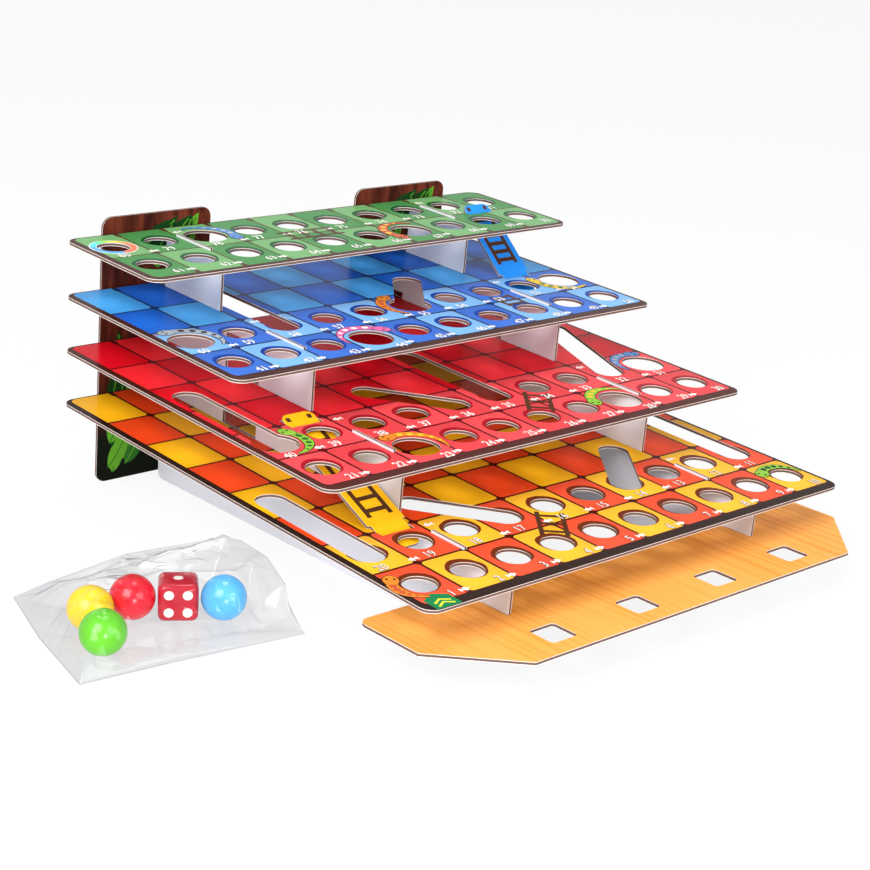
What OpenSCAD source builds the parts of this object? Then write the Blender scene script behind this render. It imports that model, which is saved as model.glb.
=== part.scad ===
// Stepped snakes and ladders game. Four sloping card tiers hang on two stepped supports.
// Balls sit in the seat holes, drop through the larger holes and run down the rail slots.

/* [Cells] */
// Width of one cell, side to side
cell_w = 20; // [19:0.5:24]
// Depth of one cell, front to back
cell_d = 25; // [23:0.5:30]
// Border of a tier beside its cells
side_border = 0.8; // [0.5:0.1:4]
// Border of a tier in front of its cells
front_border = 4.2; // [3:0.1:7]
// Border of a tier behind its cells
rear_border = 3; // [1:0.1:3.5]
// Corner radius of a tier
corner_r = 5; // [3:0.5:8]

/* [Card] */
// Thickness of the tiers, supports, posts and tray
card = 1.2; // [1:0.1:2]
// Clearance on each side of a card in its slit
fit = 0.15; // [0.1:0.05:0.3]

/* [Tiers] */
// Height from one tier to the next
tier_rise = 20.6; // [20:0.2:28]
// Forward slope of the tiers in degrees
tilt = 2.6; // [1:0.2:5]
// Height of the lowest tier above the table at its rear row
rear_h = 36.5; // [35:0.5:50]

/* [Holes] */
// Diameter of the seat holes and width of the rail slots
seat_d = 11.6; // [9:0.2:13]
// Clearance of a ball in the holes that it drops through
drop_gap = 1.6; // [0.8:0.1:2]

/* [Supports] */
// Column line that each support stands on, counted from its side of the board
support_line = 2; // [1.95:0.05:2.05]
// Setback of the support's front edge behind each tier's front row, lowest tier first
support_setback = [2, 7, 6.5, 12]; // [0:0.5:30]
// Setback of the locking tab behind each tier's front row, lowest tier first
tab_setback = [24.5, 12, 12.5, 19.5]; // [0:0.5:30]
// Length of the locking tabs, lowest tier first
tab_len = [16, 21.5, 21.5, 21.5]; // [10:0.5:24]
// Height of a locking tab above the card
tab_out = 0.8; // [0.5:0.1:3]
// Distance of the support's rear edge in front of the rear row
support_inset = 3; // [1:0.5:6]
// Front to back width of the windows between the tiers
window_w = 20.5; // [12:0.5:24]
// Distance of the windows in front of the rear row
window_setback = 43; // [41:0.5:45]
// Strip of card left above a window
window_roof = 5; // [3:0.5:7]
// Corner radius of the support's foot
foot_r = 3; // [1:0.5:5]

/* [Posts] */
// Width of a post
post_w = 48; // [40:1:56]
// Distance of a post's front face behind the rear row
post_setback = 4.2; // [4:0.2:10]
// Height of a post above the top tier
post_over = 6; // [1:0.5:10]
// Corner radius of a post
post_r = 4; // [2:0.5:6]
// Height of the tongues that lock a support into its post
tongue_h = 14; // [8:1:14]
// Height of the lower tongue above the table
tongue_low = 11; // [8:1:14]
// Length of a tongue that shows behind the post
tongue_out = 1.5; // [0.5:0.1:3]

/* [Ball tray] */
// Width of the tray
tray_w = 204.6; // [196:0.2:220]
// Length of the tray's front edge
tray_front_w = 154.8; // [140:0.2:170]
// Depth of the tray
tray_d = 53.5; // [48:0.5:60]
// Depth of the tray's cut corners
tray_cut_d = 25; // [18:1:30]
// Height of the tray's top above the table
tray_h = 13.7; // [10:0.1:15]
// Distance that the tray reaches behind the front of the supports
tray_lap = 24; // [20:1:28]
// Depth of the notch in each support that holds the tray
tray_notch = 12; // [8:1:16]
// Corner radius at the rear of the tray
tray_r = 4; // [2:0.5:8]
// Side of a ball hole in the tray
tray_hole = 11; // [8:0.5:12]
// Corner radius of a ball hole in the tray
tray_hole_r = 1.5; // [0.5:0.25:2.5]
// Spacing of the ball holes in the tray
tray_hole_step = 38.7; // [30:0.1:42]
// Distance of the ball holes' middle behind the front edge
tray_hole_inset = 12; // [9:0.5:15]

/* [Ladders] */
// Thickness of a ladder strip
strip = 1; // [0.8:0.1:2]
// Width of a ladder strip
strip_w = 16; // [14:0.5:16]
// Width of the tongues at its ends
neck_w = 13.5; // [10:0.5:13.5]
// Length of the upper tongue above the tier
neck_up = 3; // [2:0.5:7]
// Length of the lower tongue below the tier
neck_down = 7; // [3:0.5:9]
// Free travel of a strip in its slits
strip_play = 4; // [1:0.5:5]
// Corner radius of a tongue
neck_r = 3; // [1:0.5:4]

/* [Playing pieces] */
// Diameter of a ball
ball_d = 15; // [13:0.5:15.5]
// Width of the die
die_w = 13; // [12:0.5:16]
// Diameter of the sphere that rounds the die, over its width
die_round = 1.38; // [1.36:0.01:1.44]
// Radius of a pip's hollow
pip_r = 1.6; // [1:0.1:1.8]
// Depth of a pip's hollow
pip_depth = 0.4; // [0.2:0.1:0.6]
// Spacing of the pips
pip_step = 3; // [2.8:0.1:3.8]
// Gap between neighbouring pieces in the bag
piece_gap = 0.6; // [0.4:0.1:2]

/* [Bag] */
// Distance of the die outside the board's left edge
bag_out = 27.8; // [24:0.2:40]
// Distance of the die in front of the rear row
bag_front = 114.6; // [95:0.1:130]
// Turn of the die on the table, in degrees
die_turn = -34; // [-38:1:-28]
// Length of the bag, side to side
bag_l = 78; // [76:1:96]
// Width of the bag, front to back
bag_w = 68; // [66:1:84]
// Turn of the bag on the table, in degrees
bag_turn = -7; // [-12:1:-4]
// Distance of the bag's middle to the left of the die
bag_left = 9.5; // [7:0.5:12]
// Distance of the bag's middle behind the die
bag_back = 3.7; // [2:0.1:6]
// Corner radius of the bag
bag_r = 2; // [1.5:0.5:6]
// Thickness of the film
film = 0.5; // [0.3:0.1:0.8]
// Slack of the film round a piece
slack = 4; // [3:0.5:6]
// Thickness of the sealed edge
seal = 1.5; // [1.5:0.1:2.5]

/* [Hidden] */
$fn = 48;

// Extra length that carries a cut past a face
past = 1;
// Step of a slot's straight sides inside its round ends
ease = 0.04;
// Layout of the board: columns, rows that stick out of each tier, and tiers
cols = 10;
open_rows = 2;
tiers = 4;
// Tier, column and row of the holes that a ball drops through
drops = [[3, 6, 1], [3, 2, 0], [2, 3, 3], [2, 0, 2], [2, 9, 2], [2, 5, 2],
         [1, 2, 5], [1, 7, 5], [1, 9, 4], [1, 0, 4]];
// Tier, start cell and end cell of the rail slots
rails = [[0, [0, 4], [0, 6]], [0, [2, 5], [3, 6]], [0, [7, 5], [6, 6]], [0, [9, 4], [9, 6]],
         [1, [0, 2], [0, 4]], [1, [3, 3], [4, 4]], [1, [5, 2], [5, 4]], [1, [9, 2], [8, 4]],
         [2, [2, 0], [2, 2]], [2, [6, 1], [5, 2]]];
// Lower tier, column position, lower row line and upper row line of the ladder strips
ladders = [[0, 1.53, 6, 4], [2, 8.88, 2, 1]];

board_w = cols * cell_w + 2 * side_border;
drop_d = ball_d + drop_gap;
slit = card + 2 * fit;
support_x = (cols / 2 - support_line) * cell_w;
support_rear = -support_inset;

function rows(i) = open_rows * (tiers - i);
function front_row(i) = -rows(i) * cell_d;
function top_z(i) = i * tier_rise;
function under_z(i) = top_z(i) - card;
function cell_x(c) = (c + 0.5 - cols / 2) * cell_w;
function cell_y(r) = -(r + 0.5) * cell_d;
function is_drop(i, c, r) = len([for (d = drops) if (d == [i, c, r]) d]) > 0;
function support_front(i) = front_row(i) + support_setback[i];
function tab_front(i) = front_row(i) + tab_setback[i];
// Height of the table in the sloping frame of the tiers, at distance y from the rear row
function table_z(y) = -(rear_h + y * sin(tilt)) / cos(tilt);
// Level y and height z of a point of the sloping frame
function level_y(y, z) = y * cos(tilt) - z * sin(tilt);

// Tray and its notches, in the level frame
tray_top_slope = (tray_h - rear_h - support_front(0) * sin(tilt)) / cos(tilt);
foot_y = level_y(support_front(0), tray_top_slope);
tray_rear = foot_y + tray_lap;
tray_front = tray_rear - tray_d;
notch_y = foot_y + tray_notch;

// Tongues of the supports: the low ends of the two that each support has
tongue_z = [table_z(support_rear) + tongue_low, top_z(1) + (tier_rise - card - tongue_h) / 2];
tongue_end = post_setback + card + tongue_out;

// Places of the loose pieces in the level frame
die_at = [-board_w / 2 - bag_out, -bag_front];
beside_die = (ball_d + die_w) / 2 + piece_gap;
function turned(p) = [p.x * cos(die_turn) - p.y * sin(die_turn), p.x * sin(die_turn) + p.y * cos(die_turn)];
red_at = die_at + turned([-beside_die, -ball_d / 5.4]);
blue_at = die_at + turned([beside_die, -ball_d / 4.6]);
yellow_at = red_at - [ball_d + piece_gap, 0];
green_at = yellow_at - [ball_d / 2.4, ball_d + 4 * piece_gap];
balls_at = [yellow_at, red_at, green_at, blue_at];
piece_z = film + fit;
bag_h = piece_z + ball_d + 2 * fit;
film_r = ball_d / 2 + slack;
crown_r = ball_d / 3;
die_film_r = die_w / sqrt(2) + slack;
die_crown_r = die_w / sqrt(2) + film;
bag_at = die_at + [-bag_left, bag_back];

// Sealed edge of the bag from its front left corner round, lifted at the right and the rear by the stiff film:
// shares of half the length, half the width and the height
edge_shape = [[-1, -1, 0], [1, -1, 0], [1.03, -0.62, 0.72], [0.9, 0.37, 1.05], [0.17, 0.84, 0.62],
              [-0.85, 0.91, 0.12]];
bag_edge = [for (p = edge_shape) [p.x * (bag_l / 2 - bag_r), p.y * (bag_w / 2 - bag_r), p.z * bag_h]];

// The middle of the footprint is the origin
x_low = bag_at.x - bag_r - (bag_l / 2 - bag_r) * cos(bag_turn) + (bag_w / 2 - bag_r) * sin(bag_turn);
x_high = max(board_w, tray_w) / 2;
y_high = max(level_y(post_setback + card, table_z(post_setback)), level_y(tongue_end, tongue_z[0]));
middle = [(x_low + x_high) / 2, (tray_front + y_high) / 2];

// Level frame: the mid-plane is x = 0, the rear row is y = 0 and the table is z = 0
module level() {
    translate([-middle.x, -middle.y, 0]) children();
}

// Sloping frame of the tiers, whose lowest top surface is z = 0
module slope() {
    level() translate([0, 0, rear_h]) rotate([tilt, 0, 0]) children();
}

// A rectangle with round corners, from corner a to corner b
module round_rect(a, b, r) {
    translate([a.x + r, a.y]) square([b.x - a.x - 2 * r, b.y - a.y]);
    translate([a.x, a.y + r]) square([b.x - a.x, b.y - a.y - 2 * r]);
    for (x = [a.x + r, b.x - r], y = [a.y + r, b.y - r]) translate([x, y]) circle(r);
}

// What a rounding of radius r takes off the corner at the origin
module corner_waste(r) {
    difference() {
        translate([-past, -past]) square(r + past);
        translate([r, r]) circle(r);
    }
}

// The straight part of a slot between the round holes at two points
module rail_cut(a, b) {
    run = b - a;
    side = seat_d - ease;
    translate(a) rotate(atan2(run.y, run.x)) translate([0, -side / 2]) square([norm(run), side]);
}

// Steepness of a ladder strip, and half the length of its slit in a tier
function strip_angle(l) = atan2(tier_rise, (l[2] - l[3]) * cell_d);
function strip_run(l) = norm([tier_rise, (l[2] - l[3]) * cell_d]);
function strip_x(l) = (l[1] - cols / 2) * cell_w;
function strip_slit(l) = (strip / 2 + 2 * fit) / sin(strip_angle(l)) + card / 2 / tan(strip_angle(l));

// Slit for a ladder's tongue on a row line
module strip_cut(l, row) {
    half = strip_slit(l);
    translate([strip_x(l) - neck_w / 2 - fit, -row * cell_d - half]) square([neck_w + 2 * fit, 2 * half]);
}

// All that is cut out of a tier, in plan
module tier_cuts(i) {
    for (c = [0 : cols - 1], r = [rows(i) - open_rows : rows(i) - 1])
        translate([cell_x(c), cell_y(r)]) circle(d = is_drop(i, c, r) ? drop_d : seat_d);
    for (t = rails) if (t[0] == i) {
        translate([cell_x(t[1].x), cell_y(t[1].y)]) circle(d = seat_d);
        rail_cut([cell_x(t[1].x), cell_y(t[1].y)], [cell_x(t[2].x), cell_y(t[2].y)]);
    }
    for (l = ladders) {
        if (l[0] == i) strip_cut(l, l[2]);
        if (l[0] + 1 == i) strip_cut(l, l[3]);
    }
    for (side = [-1, 1]) translate([side * support_x - slit / 2, 0]) {
        translate([0, tab_front(i) - fit]) square([slit, tab_len[i] + 2 * fit]);
        if (i < tiers - 1) translate([0, support_front(i + 1) - fit])
            square([slit, rear_border + past - support_front(i + 1)]);
    }
}

// One printed tier: a flat card with its holes, rails and slits
module tier(i) {
    slope() translate([0, 0, under_z(i)]) linear_extrude(card) difference() {
        round_rect([-board_w / 2, front_row(i) - front_border], [board_w / 2, rear_border], corner_r);
        tier_cuts(i);
    }
}

module yellow_tier() {
    color("gold") tier(0);
}

module red_tier() {
    color("crimson") tier(1);
}

module blue_tier() {
    color("royalblue") tier(2);
}

module green_tier() {
    color("mediumseagreen") tier(3);
}

// Outline of a support in the sloping frame: y runs along, z up
module support_outline() {
    for (i = [0 : tiers - 1]) {
        bottom = i == 0 ? 0 : under_z(i - 1) - past;
        front = support_front(i);
        if (i == 0)
            polygon([[front, table_z(front)], [support_rear, table_z(support_rear)],
                     [support_rear, under_z(0) - fit], [front, under_z(0) - fit]]);
        else
            translate([front, bottom]) square([support_rear - front, under_z(i) - fit - bottom]);
        translate([tab_front(i), under_z(i) - past]) square([tab_len[i], card + past + tab_out]);
    }
    for (z = tongue_z) translate([support_rear - past, z])
        square([tongue_end - support_rear + past, tongue_h]);
}

// One stepped support with its windows and the notch for the tray
module support(side) {
    level() difference() {
        translate([0, 0, rear_h]) rotate([tilt, 0, 0]) translate([side * support_x - card / 2, 0, 0])
            rotate([90, 0, 90]) linear_extrude(card) difference() {
                support_outline();
                for (i = [0, 1]) translate([-window_setback - window_w, top_z(i)])
                    square([window_w, tier_rise - card - window_roof]);
                translate([support_rear, table_z(support_rear)]) mirror([1, 0]) corner_waste(foot_r);
            }
        translate([side * support_x - card, foot_y - tray_lap, tray_h - card - fit])
            cube([2 * card, tray_lap + tray_notch, slit]);
    }
}

module left_support() {
    color("whitesmoke") support(-1);
}

module right_support() {
    color("whitesmoke") support(1);
}

// One rear post: a round-cornered card that the support's tongues lock into
module post(side) {
    base = table_z(post_setback);
    slope() translate([side * support_x, post_setback + card, 0]) rotate([90, 0, 0]) linear_extrude(card)
        difference() {
            round_rect([-post_w / 2, base], [post_w / 2, top_z(tiers - 1) + post_over], post_r);
            for (z = tongue_z) translate([-slit / 2, z - fit]) square([slit, tongue_h + 2 * fit]);
        }
}

module left_post() {
    color("saddlebrown") post(-1);
}

module right_post() {
    color("saddlebrown") post(1);
}

// The tray: a low card with cut front corners and square ball holes, pushed into the supports' notches
module ball_tray() {
    side = tray_w / 2;
    color("sandybrown") level() translate([0, 0, tray_h - card]) linear_extrude(card) difference() {
        polygon([[-side, tray_rear], [-side, tray_front + tray_cut_d], [-tray_front_w / 2, tray_front],
                 [tray_front_w / 2, tray_front], [side, tray_front + tray_cut_d], [side, tray_rear]]);
        translate([-side, tray_rear]) mirror([0, 1]) corner_waste(tray_r);
        translate([side, tray_rear]) rotate(180) corner_waste(tray_r);
        for (k = [-1.5 : 1 : 1.5]) translate([k * tray_hole_step, tray_front + tray_hole_inset])
            round_rect([-tray_hole / 2, -tray_hole / 2], [tray_hole / 2, tray_hole / 2], tray_hole_r);
        for (s = [-1, 1]) translate([s * support_x - slit / 2, notch_y - fit])
            square([slit, tray_rear - notch_y + fit + past]);
    }
}

// One ladder strip: it leans between two tiers, with a narrower tongue through a slit at each end
module ladder(l) {
    a = strip_angle(l);
    run = strip_run(l);
    shoulder = (card / 2 + fit + strip / 2 * cos(a)) / sin(a);
    through = card / 2 / sin(a);
    slope() translate([strip_x(l), -l[2] * cell_d, top_z(l[0]) - card / 2]) rotate([a, 0, 0])
        translate([0, 0, -strip / 2]) linear_extrude(strip) {
            translate([-strip_w / 2, shoulder]) square([strip_w, run - 2 * shoulder - strip_play]);
            round_rect([-neck_w / 2, -through - neck_down], [neck_w / 2, run + through + neck_up], neck_r);
        }
}

module yellow_ladder() {
    color("yellow") ladder(ladders[0]);
}

module blue_ladder() {
    color("dodgerblue") ladder(ladders[1]);
}

module ball(k) {
    level() translate([balls_at[k].x, balls_at[k].y, piece_z + ball_d / 2]) sphere(d = ball_d);
}

module yellow_ball() {
    color("yellow") ball(0);
}

module red_ball() {
    color("red") ball(1);
}

module green_ball() {
    color("limegreen") ball(2);
}

module blue_ball() {
    color("deepskyblue") ball(3);
}

// Places of a face's pips on a three by three grid
function pips(n) = [for (x = [-1 : 1], y = [-1 : 1])
    if ((n % 2 == 1 && x == 0 && y == 0) || (n > 1 && x == y && x != 0) || (n > 3 && x == -y && x != 0)
        || (n == 6 && x == 0 && y != 0)) [x, y]];

// Hollows of one face, sunk into the face at z = 0
module face_pips(n) {
    ball_r = (pip_r * pip_r + pip_depth * pip_depth) / (2 * pip_depth);
    for (p = pips(n)) translate([p.x * pip_step, p.y * pip_step, ball_r - pip_depth]) sphere(ball_r);
}

module die() {
    // Number of each face and the turn that brings it to the top
    faces = [[1, [0, 0, 0]], [6, [180, 0, 0]], [4, [90, 0, 0]],
             [3, [-90, 0, 0]], [2, [0, 90, 0]], [5, [0, -90, 0]]];
    color("firebrick") level() translate([die_at.x, die_at.y, piece_z + die_w / 2]) rotate(die_turn)
        difference() {
            intersection() {
                cube(die_w, center = true);
                sphere(d = die_w * die_round);
            }
            for (f = faces) rotate(f[1]) translate([0, 0, die_w / 2]) face_pips(f[0]);
        }
}

// Space inside the film, or with skin its outside: over the pieces and out to the sealed edge
module bag_space(low, skin) {
    edge_r = bag_r - 2 * (film - skin);
    hull() {
        for (p = balls_at) translate([p.x, p.y, low])
            cylinder(h = bag_h + skin - low, r1 = film_r + skin, r2 = crown_r + skin, $fn = 32);
        translate([die_at.x, die_at.y, low])
            cylinder(h = bag_h + skin - low, r1 = die_film_r + skin, r2 = die_crown_r + skin, $fn = 32);
        translate(bag_at) rotate(bag_turn) for (p = bag_edge) translate([p.x, p.y, p.z + low])
            cylinder(h = seal - 2 * low, r = edge_r, $fn = 16);
    }
}

// The clear bag: a closed film over the pieces, which comes down to its sealed edge
module bag() {
    color("lightgrey", 0.4) level() difference() {
        bag_space(0, film);
        bag_space(film, 0);
    }
}

yellow_tier();
red_tier();
blue_tier();
green_tier();
left_support();
right_support();
left_post();
right_post();
ball_tray();
yellow_ladder();
blue_ladder();
yellow_ball();
red_ball();
green_ball();
blue_ball();
die();
bag();
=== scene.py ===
"""Looks of a stepped snakes and ladders game: printed card tiers, ladder strips and a bag of playing pieces.

Sizes are in millimetres until a shape is placed, and the frame is in metres.
"""

from __future__ import annotations

import logging
import math
import random
from collections.abc import Callable, Sequence
from dataclasses import dataclass, field
from enum import Enum, IntEnum
from functools import partial

import bmesh
import bpy
from mathutils import Matrix, Vector, geometry
from mathutils.bvhtree import BVHTree

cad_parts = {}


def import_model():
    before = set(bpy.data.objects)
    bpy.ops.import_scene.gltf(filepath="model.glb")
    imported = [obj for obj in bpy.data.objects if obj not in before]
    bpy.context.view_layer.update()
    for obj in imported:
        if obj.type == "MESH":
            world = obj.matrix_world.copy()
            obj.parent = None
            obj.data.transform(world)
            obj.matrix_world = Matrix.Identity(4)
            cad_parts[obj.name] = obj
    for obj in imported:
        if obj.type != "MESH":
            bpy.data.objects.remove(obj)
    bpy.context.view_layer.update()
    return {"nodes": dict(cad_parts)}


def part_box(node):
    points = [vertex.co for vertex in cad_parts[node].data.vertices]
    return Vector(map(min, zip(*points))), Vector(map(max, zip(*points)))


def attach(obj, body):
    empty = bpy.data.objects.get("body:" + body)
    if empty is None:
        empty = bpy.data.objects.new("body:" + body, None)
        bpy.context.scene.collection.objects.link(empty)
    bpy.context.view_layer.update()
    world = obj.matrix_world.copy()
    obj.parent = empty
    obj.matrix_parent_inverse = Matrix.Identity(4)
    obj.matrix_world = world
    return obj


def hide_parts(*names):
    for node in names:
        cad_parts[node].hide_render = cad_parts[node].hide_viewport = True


log = logging.getLogger("snakes_and_ladders")

MM = 0.001
# Width of the photograph, and of the film that stands for it
PHOTO_PX = 870
SENSOR_MM = 36.0
# Millimetres that lie past every edge of the game
FAR = 1000.0
# Specular level of all prints, which hardly mirror the studio
PRINT_SPECULAR = 0.03
WHITE = (1.0, 1.0, 1.0, 1.0)
# A wave texture of scale 1 repeats after this length
WAVE_PERIOD = math.pi / 10
# Sockets of a Mix node: its share, two numbers or two colours, and the mixed colour
SHARE = 0
NUMBER_A = 2
NUMBER_B = 3
COLOUR_A = 6
COLOUR_B = 7
MIXED = 2

Colour = tuple[float, float, float, float]
Point = tuple[float, float]
Span = tuple[float, float]
Triple = tuple[float, float, float]
Painter = Callable[[bpy.types.NodeTree, bpy.types.Node], bpy.types.NodeSocket]


class Axis(Enum):
    """Axis that runs through a card's thickness."""

    X = 0
    Y = 1
    Z = 2


class Layer(IntEnum):
    """Layers of ink on a printed face, from the paper up."""

    PAPER = 0
    LOW = 1
    MIDDLE = 2
    HIGH = 3
    TOP = 4


def linear(code: str) -> Colour:
    """Turn an sRGB hex colour into linear light, by the standard's own curve.

    Args:
        code: Colour such as "#F9C01C".
    Returns:
        Red, green, blue and a full alpha.
    """
    channels = [int(code[i:i + 2], 16) / 255 for i in (1, 3, 5)]
    red, green, blue = (c / 12.92 if c <= 0.04045 else ((c + 0.055) / 1.055) ** 2.4 for c in channels)
    return red, green, blue, 1.0


def feed(tree: bpy.types.NodeTree, node: bpy.types.Node, feeds: dict[int | str, object]) -> None:
    """Set or link input sockets of a node.

    Args:
        tree: Node tree that holds the node.
        node: Node that is fed.
        feeds: What goes into its sockets: a value, an output socket, or a node's first output.
    """
    for key, value in feeds.items():
        source = value.outputs[0] if isinstance(value, bpy.types.Node) else value
        if isinstance(source, bpy.types.NodeSocket):
            tree.links.new(source, node.inputs[key])
        else:
            node.inputs[key].default_value = source


def add_node(tree: bpy.types.NodeTree, kind: str, feeds: dict[int | str, object] | None = None,
             **settings: object) -> bpy.types.Node:
    """Add a shader node with its settings and links.

    Args:
        tree: Node tree that gets the node.
        kind: Type of the node, without the ShaderNode that all begin with.
        feeds: What goes into its sockets, as for feed.
        settings: Properties of the node, such as operation.
    Returns:
        The new node.
    """
    node = tree.nodes.new(f"ShaderNode{kind}")
    for name, value in settings.items():
        setattr(node, name, value)
    feed(tree, node, feeds or {})
    return node


def new_material(name: str) -> tuple[bpy.types.Material, bpy.types.NodeTree, bpy.types.Node]:
    """Make an empty material.

    Args:
        name: Name of the finish.
    Returns:
        The material, its node tree and its Principled shader.
    """
    material = bpy.data.materials.new(name)
    material.use_nodes = True
    return material, material.node_tree, material.node_tree.nodes["Principled BSDF"]


def coat(node: bpy.types.Object, finish: bpy.types.Material) -> None:
    """Give a node of the frame its one finish.

    Args:
        node: Object of the node.
        finish: Its material.
    """
    node.data.materials.clear()
    node.data.materials.append(finish)
    log.info("%s: dressed in %s", node.name, finish.name)


def make_piece(shape: bmesh.types.BMesh, name: str, body: str,
               finishes: Sequence[bpy.types.Material], smooth: bool = False) -> bpy.types.Object:
    """Turn a finished shape into a piece that rides on a body.

    Args:
        shape: Geometry in the frame, in metres; it is freed here.
        name: Name of the piece.
        body: Body that carries it.
        finishes: Materials, in the order of the faces' material indices.
        smooth: Whether its faces are shaded smooth.
    Returns:
        The piece.
    """
    mesh = bpy.data.meshes.new(name)
    shape.to_mesh(mesh)
    shape.free()
    for finish in finishes:
        mesh.materials.append(finish)
    if smooth:
        mesh.shade_smooth()
    piece = bpy.data.objects.new(name, mesh)
    bpy.context.scene.collection.objects.link(piece)
    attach(piece, body)
    log.info("%s: %d faces on %s", name, len(mesh.polygons), body)
    return piece


@dataclass
class Slope:
    """Sloping frame of the tiers: x across the board, y to the rear from the rear row, z up."""

    cell_w: float = 20.0
    cell_d: float = 25.0
    columns: int = 10
    tiers: int = 4
    open_rows: int = 2
    card: float = 1.2
    rise: float = 20.6
    tilt: float = math.radians(2.6)
    rear_border: float = 3.0
    origin: Vector = field(init=False)

    def __post_init__(self) -> None:
        """Find the frame's origin from the lowest tier."""
        low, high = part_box("yellow_tier")
        back = self.rear_border * math.cos(self.tilt) + self.card * math.sin(self.tilt)
        up = self.rear_border * math.sin(self.tilt)
        self.origin = Vector(((low.x + high.x) / 2, high.y - back * MM, high.z - up * MM))

    def rows(self, tier: int) -> int:
        """Rows of cells on a tier."""
        return self.open_rows * (self.tiers - tier)

    def top(self, tier: int) -> float:
        """Height of a tier's printed face."""
        return tier * self.rise

    def cell(self, column: float, row: float) -> Point:
        """Middle of a cell."""
        return (column + 0.5 - self.columns / 2) * self.cell_w, -(row + 0.5) * self.cell_d

    def place(self, x: float = 0.0, y: float = 0.0, z: float = 0.0, lean: float = 0.0) -> Matrix:
        """Matrix that puts millimetres at a point of the slope into the frame.

        Args:
            x: Place across the board.
            y: Place to the rear.
            z: Place above the lowest printed face.
            lean: Further turn about the board's width.
        Returns:
            The matrix.
        """
        base = Matrix.Translation(self.origin) @ Matrix.Rotation(self.tilt, 4, "X") @ Matrix.Scale(MM, 4)
        return base @ Matrix.Translation((x, y, z)) @ Matrix.Rotation(lean, 4, "X")


def local_coords(tree: bpy.types.NodeTree, place: Matrix) -> tuple[bpy.types.Node, bpy.types.Node]:
    """Read a piece's own coordinates in millimetres.

    Args:
        tree: Node tree of its material.
        place: Matrix that put the millimetres into the frame.
    Returns:
        The Texture Coordinate node and the node that gives the millimetres.
    """
    coords = add_node(tree, "TexCoord")
    local = add_node(tree, "Mapping", {"Vector": coords.outputs["Object"], "Location": place.to_translation(),
                                       "Rotation": place.to_euler(), "Scale": (MM, MM, MM)},
                     vector_type="TEXTURE")
    return coords, local


@dataclass(frozen=True)
class Greyboard:
    """Die-cut greyboard: a fibrous grey-brown core between white liners, with a gloss film on its faces."""

    # The eye gets a brown line between two pale ones on each cut edge, and a sheen that wanders on the faces.
    # Real fibres are too fine to show, so they are drawn as clumps half a millimetre across.
    liner: str = "#D8D1CD"
    core: str = "#7C5F54"
    core_dark: str = "#4E3A33"
    # Pale grey back liner, painted darker as painted shade for the undersides that face the dim space under
    # the cards
    reverse: str = "#C9C6C6"
    thickness: float = 1.2
    liner_depth: float = 0.21
    fibre: float = 0.5
    fibre_detail: float = 3.0
    ripple: float = 22.0
    most_gloss: float = 0.192
    least_gloss: float = 0.312
    dull: float = 0.85
    face_limit: float = 0.6
    relief: float = 0.25
    relief_h: float = 0.3

    def dress(self, name: str, place: Matrix, axis: Axis, print_face: Painter,
              both_faces: bool = False) -> bpy.types.Material:
        """Make a card's material, with its print on the face and its layers on the cut edges.

        Args:
            name: Name of the finish.
            place: Matrix of the card's middle plane.
            axis: Axis through the card.
            print_face: Gives the printed colour from the node tree and the local millimetres.
            both_faces: Whether the print is on both faces.
        Returns:
            The material.
        """
        material, tree, shader = new_material(name)
        coords, local = local_coords(tree, place)
        depth = add_node(tree, "SeparateXYZ", {0: local}).outputs[axis.value]
        facing = add_node(tree, "SeparateXYZ", {0: coords.outputs["Normal"]}).outputs[axis.value]
        fibres = add_node(tree, "TexNoise",
                          {"Vector": local, "Scale": 1 / self.fibre, "Detail": self.fibre_detail})
        pulp = add_node(tree, "Mix", {SHARE: fibres, COLOUR_A: linear(self.core_dark),
                                      COLOUR_B: linear(self.core)}, data_type="RGBA").outputs[MIXED]
        deep = add_node(tree, "Math", {0: depth}, operation="ABSOLUTE")
        on_liner = add_node(tree, "Math", {0: deep, 1: self.thickness / 2 - self.liner_depth},
                            operation="GREATER_THAN")
        edge = add_node(tree, "Mix", {SHARE: on_liner, COLOUR_A: pulp, COLOUR_B: linear(self.liner)},
                        data_type="RGBA").outputs[MIXED]
        face = print_face(tree, local)
        if not both_faces:
            # The unprinted back gets the darkened back colour: its own pale grey with painted shade
            behind = add_node(tree, "Math", {0: facing, 1: 0.0}, operation="LESS_THAN")
            face = add_node(tree, "Mix", {SHARE: behind, COLOUR_A: face, COLOUR_B: linear(self.reverse)},
                            data_type="RGBA").outputs[MIXED]
        turned = add_node(tree, "Math", {0: facing}, operation="ABSOLUTE")
        on_edge = add_node(tree, "Math", {0: turned, 1: self.face_limit}, operation="LESS_THAN")
        colour = add_node(tree, "Mix", {SHARE: on_edge, COLOUR_A: face, COLOUR_B: edge}, data_type="RGBA")
        wave = add_node(tree, "TexNoise", {"Vector": local, "Scale": 1 / self.ripple})
        sheen = add_node(tree, "MapRange", {"Value": wave, "To Min": self.most_gloss,
                                            "To Max": self.least_gloss})
        rough = add_node(tree, "Mix", {SHARE: on_edge, NUMBER_A: sheen, NUMBER_B: self.dull},
                         data_type="FLOAT")
        height = add_node(tree, "Mix", {SHARE: on_edge, NUMBER_A: wave, NUMBER_B: fibres}, data_type="FLOAT")
        bump = add_node(tree, "Bump", {"Strength": self.relief, "Distance": self.relief_h * MM,
                                       "Height": height})
        feed(tree, shader, {"Base Color": colour.outputs[MIXED], "Roughness": rough, "Normal": bump,
                            "Specular IOR Level": PRINT_SPECULAR})
        return material


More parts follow.
